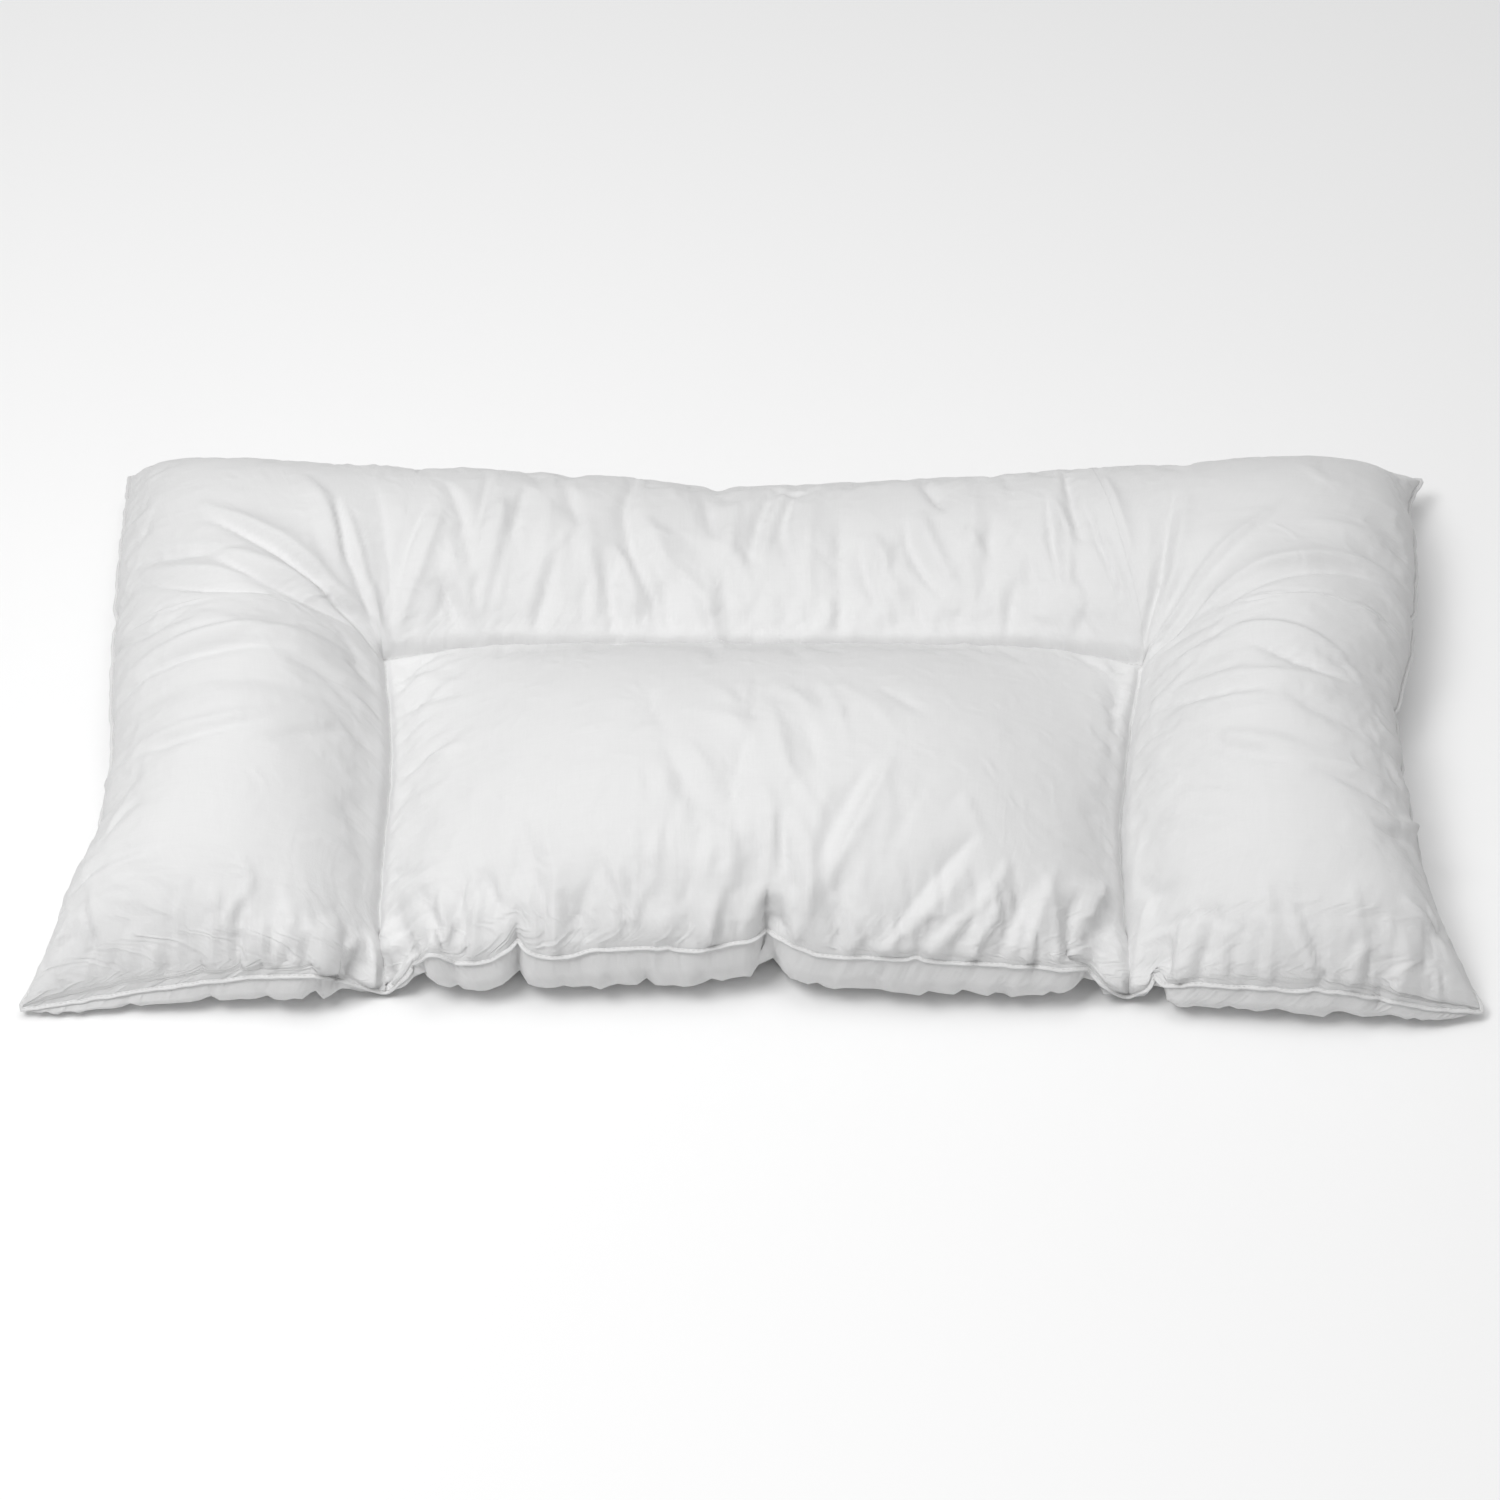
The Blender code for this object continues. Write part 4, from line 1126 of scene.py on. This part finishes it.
def build_puckers():
    """Build the creases that a gathered seam sends out square to itself, uneven in reach."""
    group, given, result = new_group("Seam puckers", (
        ("Place", "NodeSocketVector", None), ("Reach", "NodeSocketFloat", 25 * MM)), (
        ("Height", "NodeSocketFloat"),))
    split = group.nodes.new("ShaderNodeSeparateXYZ")
    group.links.new(given.outputs["Place"], split.inputs[0])
    place = given.outputs["Place"]
    coarse = grained(group, place, COARSE_PUCKERS)
    creases = noise(group, coarse, 1, 1, kind="RIDGED_MULTIFRACTAL")
    fine = noise(group, grained(group, place, FINE_PUCKERS), 1, 1, kind="RIDGED_MULTIFRACTAL")
    patchy = noise(group, grained(group, place, REACH_GRAIN), 1, 1)
    uneven = calculate(group, "MULTIPLY", patchy, patchy)
    reach = calculate(group, "MULTIPLY", uneven, LONGEST_REACH)
    reach = calculate(group, "MULTIPLY", reach, given.outputs["Reach"])
    reach = calculate(group, "MAXIMUM", reach, SHORTEST_REACH)
    away = calculate(group, "DIVIDE", split.outputs["Y"], reach)
    fade = calculate(group, "EXPONENT", calculate(group, "MULTIPLY", away, -1))
    both = calculate(group, "ADD", creases, calculate(group, "MULTIPLY", fine, FINE_SHARE))
    group.links.new(calculate(group, "MULTIPLY", both, fade), result.inputs["Height"])
    return group


def shared_group(name, build):
    """Return a node group, built the first time that a material asks for it."""
    return bpy.data.node_groups.get(name) or build()


def place_group(tree, name, build, place, **values):
    """Place a node group in a material, reading the weave's place and its own values."""
    node = tree.nodes.new("ShaderNodeGroup")
    node.node_tree = shared_group(name, build)
    tree.links.new(place, node.inputs["Place"])
    for label, value in values.items():
        node.inputs[label.replace("_", " ").title()].default_value = value
    return node


def mapped_place(tree, name):
    """Add a node that reads one of the cloth's maps, and return its place."""
    node = tree.nodes.new("ShaderNodeUVMap")
    node.uv_map = name
    return node.outputs[0]


def new_material(name):
    """Return a material, its nodes and its shader."""
    material = bpy.data.materials.new(name)
    material.use_nodes = True
    return material, material.node_tree, material.node_tree.nodes["Principled BSDF"]


def tint(tree, shader, mask, colour, darkest):
    """Colour a shader, down to its darkest share where a mask is 0."""
    mix = tree.nodes.new("ShaderNodeMix")
    mix.data_type = "RGBA"
    mix.inputs["A"].default_value = (*[darkest * part for part in colour], 1)
    mix.inputs["B"].default_value = (*colour, 1)
    tree.links.new(mask, mix.inputs["Factor"])
    tree.links.new(mix.outputs["Result"], shader.inputs["Base Color"])


def raise_surface(tree, shader, height, distance):
    """Give a shader the relief of a height."""
    bump = tree.nodes.new("ShaderNodeBump")
    bump.inputs["Distance"].default_value = distance
    tree.links.new(height, bump.inputs["Height"])
    tree.links.new(bump.outputs[0], shader.inputs["Normal"])


def cotton_material(name, colour, finish, panel):
    """Return a cotton material: woven yarns and slubs, and a panel's crumple and puckers."""
    material, tree, shader = new_material(name)
    place = mapped_place(tree, WEAVE_MAP)
    weave = place_group(
        tree, "Percale weave", build_percale_weave, place, yarn_spacing=finish.yarn_spacing)
    slub = weave.outputs["Slub"]
    tint(tree, shader, slub, colour, DARK_SLUB)
    rough = calculate(tree, "MULTIPLY", slub, SLUB_ROUGHNESS)
    rough = calculate(tree, "ADD", rough, LOWEST_ROUGHNESS)
    tree.links.new(rough, shader.inputs["Roughness"])
    heights = [(weave.outputs["Height"], finish.yarn_relief), (slub, 2 * finish.yarn_relief)]
    if panel:
        crumple = place_group(tree, "Cotton crumple", build_crumple, place)
        by_edge = place_group(
            tree, "Seam puckers", build_puckers, mapped_place(tree, EDGE_MAP),
            reach=finish.edge_pucker_reach)
        by_channel = place_group(
            tree, "Seam puckers", build_puckers, mapped_place(tree, CHANNEL_MAP),
            reach=finish.channel_pucker_reach)
        heights += [
            (crumple.outputs["Height"], finish.crumple_depth),
            (by_edge.outputs["Height"], finish.edge_pucker_depth),
            (by_channel.outputs["Height"], finish.channel_pucker_depth)]
    relief = 0
    for height, depth in heights:
        relief = calculate(tree, "ADD", relief, calculate(tree, "MULTIPLY", height, depth))
    raise_surface(tree, shader, relief, 1)
    shader.inputs["Sheen Weight"].default_value = COTTON_SHEEN
    return material


def thread_material(colour):
    """Return the material of a twisted cotton sewing thread."""
    material, tree, shader = new_material("Sewing thread")
    shader.inputs["Roughness"].default_value = THREAD_ROUGHNESS
    place = tree.nodes.new("ShaderNodeTexCoord")
    ply = noise(tree, place.outputs["Object"], 1 / THREAD_PLY)
    tint(tree, shader, ply, colour, DARK_PLY)
    raise_surface(tree, shader, ply, THREAD_RELIEF)
    return material


def floor_material(colour):
    """Return the matt material of the studio floor."""
    material, _, shader = new_material("Studio floor")
    shader.inputs["Base Color"].default_value = (*colour, 1)
    shader.inputs["Roughness"].default_value = FLOOR_ROUGHNESS
    return material


def add_softbox(name, place, target, width, power):
    """Hang a square soft light at a place, turned towards its target."""
    lamp = bpy.data.lights.new(name, "AREA")
    lamp.shape = "SQUARE"
    lamp.size = width
    lamp.energy = power
    holder = linked_object(name, lamp)
    holder.location = place
    away = Vector(place) - Vector(target)
    holder.rotation_euler = away.to_track_quat("Z", "Y").to_euler()


def studio_light(strength, low_share):
    """Return the soft light from all round, which is dimmer low down than overhead."""
    world = bpy.data.worlds.new("Studio light")
    world.use_nodes = True
    tree = world.node_tree
    split = tree.nodes.new("ShaderNodeSeparateXYZ")
    tree.links.new(tree.nodes.new("ShaderNodeTexCoord").outputs["Generated"], split.inputs[0])
    height = calculate(tree, "MAXIMUM", split.outputs["Z"], 0)
    share = calculate(tree, "ADD", calculate(tree, "MULTIPLY", height, 1 - low_share), low_share)
    background = tree.nodes["Background"]
    background.inputs["Color"].default_value = (1, 1, 1, 1)
    tree.links.new(calculate(tree, "MULTIPLY", share, strength), background.inputs["Strength"])
    return world


def flat_origin():
    """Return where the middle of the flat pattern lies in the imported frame."""
    flat = flat_grid(2)
    rim = filled_places(rim_line(flat), upper=True)
    rim_middle = (rim.min(axis=0) + rim.max(axis=0)) / 2
    packed_middle = np.mean(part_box("edge_piping"), axis=0)
    return (packed_middle - rim_middle) * (1, 1, 0)


class PillowSizes(bpy.types.PropertyGroup):
    """Sizes of the cover's folds, its piping and its stitches."""

    fold_depth: FloatProperty(
        name="Fold depth", description="Share of the full depth of the main folds",
        default=1, min=0, max=1.5, subtype="FACTOR")
    gather_depth: FloatProperty(
        name="Gather depth", description="Share of the full depth of the small gathers",
        default=1, min=0, max=2, subtype="FACTOR")
    cloth_to_spare: FloatProperty(
        name="Cloth to spare", description="How much wider the cloth is than the filled shape",
        default=0.02, min=0, max=0.15, subtype="FACTOR")
    filling_pressure: FloatProperty(
        name="Filling pressure", description="How hard the filling presses the cover out",
        default=5, min=0, max=20)
    settling_frames: IntProperty(
        name="Settling frames", description="How long the cover settles over its filling",
        default=16, min=1, max=40)
    most_movement: FloatProperty(
        name="Most movement", description="How far the settling cover may move at any point",
        default=2 * MM, min=0, max=30 * MM, subtype="DISTANCE", unit="LENGTH")
    piping_width: FloatProperty(
        name="Piping width", description="Width of the flat piping round the edge",
        default=2.8 * MM, min=1 * MM, max=12 * MM, subtype="DISTANCE", unit="LENGTH")
    piping_thickness: FloatProperty(
        name="Piping thickness", description="Thickness of the piping round the edge",
        default=1.6 * MM, min=1 * MM, max=10 * MM, subtype="DISTANCE", unit="LENGTH")
    stitch_length: FloatProperty(
        name="Stitch length", description="Length of each stitch that shows",
        default=2 * MM, min=1 * MM, max=10 * MM, subtype="DISTANCE", unit="LENGTH")
    stitch_gap: FloatProperty(
        name="Stitch gap", description="Gap between one stitch and the next",
        default=0.7 * MM, min=0, max=5 * MM, subtype="DISTANCE", unit="LENGTH")
    thread_diameter: FloatProperty(
        name="Thread diameter", description="Thickness of the sewing thread",
        default=0.4 * MM, min=0.1 * MM, max=2 * MM, subtype="DISTANCE", unit="LENGTH")


class CottonFinish(bpy.types.PropertyGroup):
    """Colours and weave of the cotton and its thread."""

    cover_colour: FloatVectorProperty(
        name="Cover colour", description="Colour of the percale panels",
        default=(0.77, 0.77, 0.77), min=0, max=1, subtype="COLOR")
    piping_colour: FloatVectorProperty(
        name="Piping colour", description="Colour of the piping's cotton",
        default=(0.72, 0.72, 0.72), min=0, max=1, subtype="COLOR")
    thread_colour: FloatVectorProperty(
        name="Thread colour", description="Colour of the sewing thread",
        default=(0.7, 0.7, 0.69), min=0, max=1, subtype="COLOR")
    yarn_spacing: FloatProperty(
        name="Yarn spacing", description="Distance from one yarn of the weave to the next",
        default=0.45 * MM, min=0.1 * MM, max=5 * MM, subtype="DISTANCE", unit="LENGTH")
    yarn_relief: FloatProperty(
        name="Yarn relief", description="How far the yarns stand out of the weave",
        default=0.04 * MM, min=0, max=1 * MM, subtype="DISTANCE", unit="LENGTH")
    edge_pucker_depth: FloatProperty(
        name="Edge pucker depth", description="Depth of the creases that the edge gathers",
        default=2 * MM, min=0, max=5 * MM, subtype="DISTANCE", unit="LENGTH")
    edge_pucker_reach: FloatProperty(
        name="Edge pucker reach", description="How far the creases run in from the edge",
        default=26 * MM, min=1 * MM, max=200 * MM, subtype="DISTANCE", unit="LENGTH")
    channel_pucker_depth: FloatProperty(
        name="Channel pucker depth", description="Depth of the creases that the U gathers",
        default=1.1 * MM, min=0, max=5 * MM, subtype="DISTANCE", unit="LENGTH")
    channel_pucker_reach: FloatProperty(
        name="Channel pucker reach", description="How far the creases run out from the U",
        default=26 * MM, min=1 * MM, max=200 * MM, subtype="DISTANCE", unit="LENGTH")
    crumple_depth: FloatProperty(
        name="Crumple depth", description="Depth of the fine crumple in the panels",
        default=1.4 * MM, min=0, max=5 * MM, subtype="DISTANCE", unit="LENGTH")


class StudioSetup(bpy.types.PropertyGroup):
    """The floor, the lights and the camera of the studio."""

    floor_colour: FloatVectorProperty(
        name="Floor colour", description="Colour of the studio floor",
        default=(0.9, 0.9, 0.9), min=0, max=1, subtype="COLOR")
    camera_height: FloatProperty(
        name="Camera height", description="Angle of the camera above the floor",
        default=math.radians(47.5), min=0, max=math.pi / 2, subtype="ANGLE", unit="ROTATION")
    camera_distance: FloatProperty(
        name="Camera distance", description="Distance from the camera to the pillow",
        default=1.93, min=0.5, max=10, subtype="DISTANCE", unit="LENGTH")
    lens: FloatProperty(
        name="Lens", description="Focal length of the camera in millimetres",
        default=85, min=20, max=300, subtype="DISTANCE_CAMERA")
    key_power: FloatProperty(
        name="Key power", description="Power of the light at the front left",
        default=22, min=0, max=500, subtype="POWER", unit="POWER")
    top_power: FloatProperty(
        name="Top power", description="Power of the light overhead",
        default=9, min=0, max=500, subtype="POWER", unit="POWER")
    sky_strength: FloatProperty(
        name="Surrounding light", description="Strength of the soft light from all round",
        default=0.7, min=0, max=5)
    low_light: FloatProperty(
        name="Low light", description="Share of the surrounding light that is left low down",
        default=0.05, min=0, max=1, subtype="FACTOR")


class PILLOW_OT_cover(bpy.types.Operator):
    """Sew both panels together, fill them, and let the cover settle into folds"""

    bl_idname = "pillow.cover"
    bl_label = "Cotton Cover"

    def execute(self, context):
        sizes = context.scene.pillow_sizes
        finish = context.scene.cotton_finish
        origin = flat_origin()
        fine = flat_grid(1)
        coarse = flat_grid(2)
        settled = 0
        start = creased_panel(coarse, True, ((MAIN_FOLDS, sizes.fold_depth),))
        below = creased_panel(coarse, False, ())
        settled = refined(settled_cover(coarse, start, below, sizes))
        upper = creased_panel(fine, True, (
            (MAIN_FOLDS, sizes.fold_depth),
            (gathered_folds(UPPER_GATHERS, UPPER_SEED), sizes.gather_depth)), settled)
        lower = creased_panel(coarse, False, (
            (LOWER_FOLDS, sizes.fold_depth),
            (gathered_folds(LOWER_GATHERS, LOWER_SEED), sizes.gather_depth)))
        mesh = sewn_mesh("pillow_cover", upper + origin, lower + origin)
        lay_cover_map(mesh, WEAVE_MAP, upper, lower, woven_places)
        lay_cover_map(mesh, EDGE_MAP, upper, lower, places_by_edge)
        lay_cover_map(mesh, CHANNEL_MAP, upper, lower, places_by_channel)
        cotton = cotton_material("Percale cover", finish.cover_colour, finish, True)
        cover = add_piece("pillow_cover", mesh, cotton)
        cover["rows"], cover["columns"] = upper.shape[:2]
        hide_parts("pillow_body")
        return {"FINISHED"}


class PILLOW_OT_piping(bpy.types.Operator):
    """Sew the piping round the edge of the cover"""

    bl_idname = "pillow.piping"
    bl_label = "Edge Piping"

    def execute(self, context):
        sizes = context.scene.pillow_sizes
        finish = context.scene.cotton_finish
        rim = rim_line(panel_of(bpy.data.objects["pillow_cover"]))
        mesh = piping_mesh(rim, sizes.piping_width, sizes.piping_thickness)
        cotton = cotton_material("Piping cotton", finish.piping_colour, finish, False)
        piping = add_piece("edge_welt", mesh, cotton)
        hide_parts("edge_piping")
        return {"FINISHED"}


class PILLOW_OT_stitches(bpy.types.Operator):
    """Sew the stitches on the piping and along the U"""

    bl_idname = "pillow.stitches"
    bl_label = "Stitches"

    def execute(self, context):
        sizes = context.scene.pillow_sizes
        thread = thread_material(context.scene.cotton_finish.thread_colour)
        panel = panel_of(bpy.data.objects["pillow_cover"])
        cloth = np.concatenate((panel, outward(panel, upper=True)), axis=2)
        left, right, back = ARM_COLUMNS, ARM_COLUMNS + PAD_COLUMNS, PAD_ROWS
        channel = np.vstack((
            cloth[:back, left], cloth[back, left:right], cloth[back:0:-1, right]))
        mesh = stitches_mesh("channel_stitches", (channel,), sizes)
        add_piece("channel_stitches", mesh, thread)
        middle, _, _, up = piping_line(rim_line(panel))
        on_top = np.column_stack((middle + up * sizes.piping_thickness / 2, up))
        mesh = stitches_mesh("edge_stitches", (on_top,), sizes)
        add_piece("edge_stitches", mesh, thread)
        return {"FINISHED"}


class PILLOW_OT_studio(bpy.types.Operator):
    """Lay the floor, hang the soft lights and set up the camera"""

    bl_idname = "pillow.studio"
    bl_label = "Studio"

    def execute(self, context):
        setup = context.scene.studio_setup
        origin = flat_origin()
        floor_mesh = bpy.data.meshes.new("studio_floor")
        side = FLOOR_HALF_WIDTH
        floor_mesh.from_pydata(
            ((-side, -side, 0), (side, -side, 0), (side, side, 0), (-side, side, 0)),
            [], ((0, 1, 2, 3),))
        floor_mesh.materials.append(floor_material(setup.floor_colour))
        floor = linked_object("studio_floor", floor_mesh)
        add_softbox("Key light", KEY_PLACE, origin, KEY_WIDTH, setup.key_power)
        add_softbox("Top light", TOP_PLACE, origin, TOP_WIDTH, setup.top_power)
        context.scene.world = studio_light(setup.sky_strength, setup.low_light)
        context.scene.view_settings.view_transform = "Standard"
        lens = bpy.data.cameras.new("Camera")
        lens.lens = setup.lens
        lens.sensor_width = SENSOR_WIDTH
        camera = linked_object("Camera", lens)
        away = (0, -math.cos(setup.camera_height), math.sin(setup.camera_height))
        camera.location = origin + setup.camera_distance * np.array(away)
        camera.rotation_euler = (math.pi / 2 - setup.camera_height, 0, 0)
        context.scene.camera = camera
        return {"FINISHED"}


class PILLOW_PT_sidebar(bpy.types.Panel):
    """The pillow's tab in the sidebar"""

    bl_idname = "PILLOW_PT_sidebar"
    bl_label = "Neck-Support Pillow"
    bl_space_type = "VIEW_3D"
    bl_region_type = "UI"
    bl_category = "Pillow"

    def draw(self, context):
        for group, heading in (
                (context.scene.pillow_sizes, "Sizes"),
                (context.scene.cotton_finish, "Cotton"),
                (context.scene.studio_setup, "Studio")):
            box = self.layout.box()
            box.label(text=heading)
            for name in group.bl_rna.properties.keys():
                if name not in ("rna_type", "name"):
                    box.prop(group, name)
        for operator in OPERATORS:
            self.layout.operator(operator.bl_idname)


PROPERTY_GROUPS = (PillowSizes, CottonFinish, StudioSetup)
OPERATORS = (PILLOW_OT_cover, PILLOW_OT_piping, PILLOW_OT_stitches, PILLOW_OT_studio)


def register():
    for part in (*PROPERTY_GROUPS, *OPERATORS, PILLOW_PT_sidebar):
        bpy.utils.register_class(part)
    bpy.types.Scene.pillow_sizes = PointerProperty(type=PillowSizes)
    bpy.types.Scene.cotton_finish = PointerProperty(type=CottonFinish)
    bpy.types.Scene.studio_setup = PointerProperty(type=StudioSetup)


def unregister():
    del bpy.types.Scene.studio_setup
    del bpy.types.Scene.cotton_finish
    del bpy.types.Scene.pillow_sizes
    for part in reversed((*PROPERTY_GROUPS, *OPERATORS, PILLOW_PT_sidebar)):
        bpy.utils.unregister_class(part)


def main():
    """Make every piece and the stage."""
    register()
    bpy.ops.pillow.cover()
    bpy.ops.pillow.piping()
    bpy.ops.pillow.stitches()
    bpy.ops.pillow.studio()


if __name__ == "__main__":
    main()
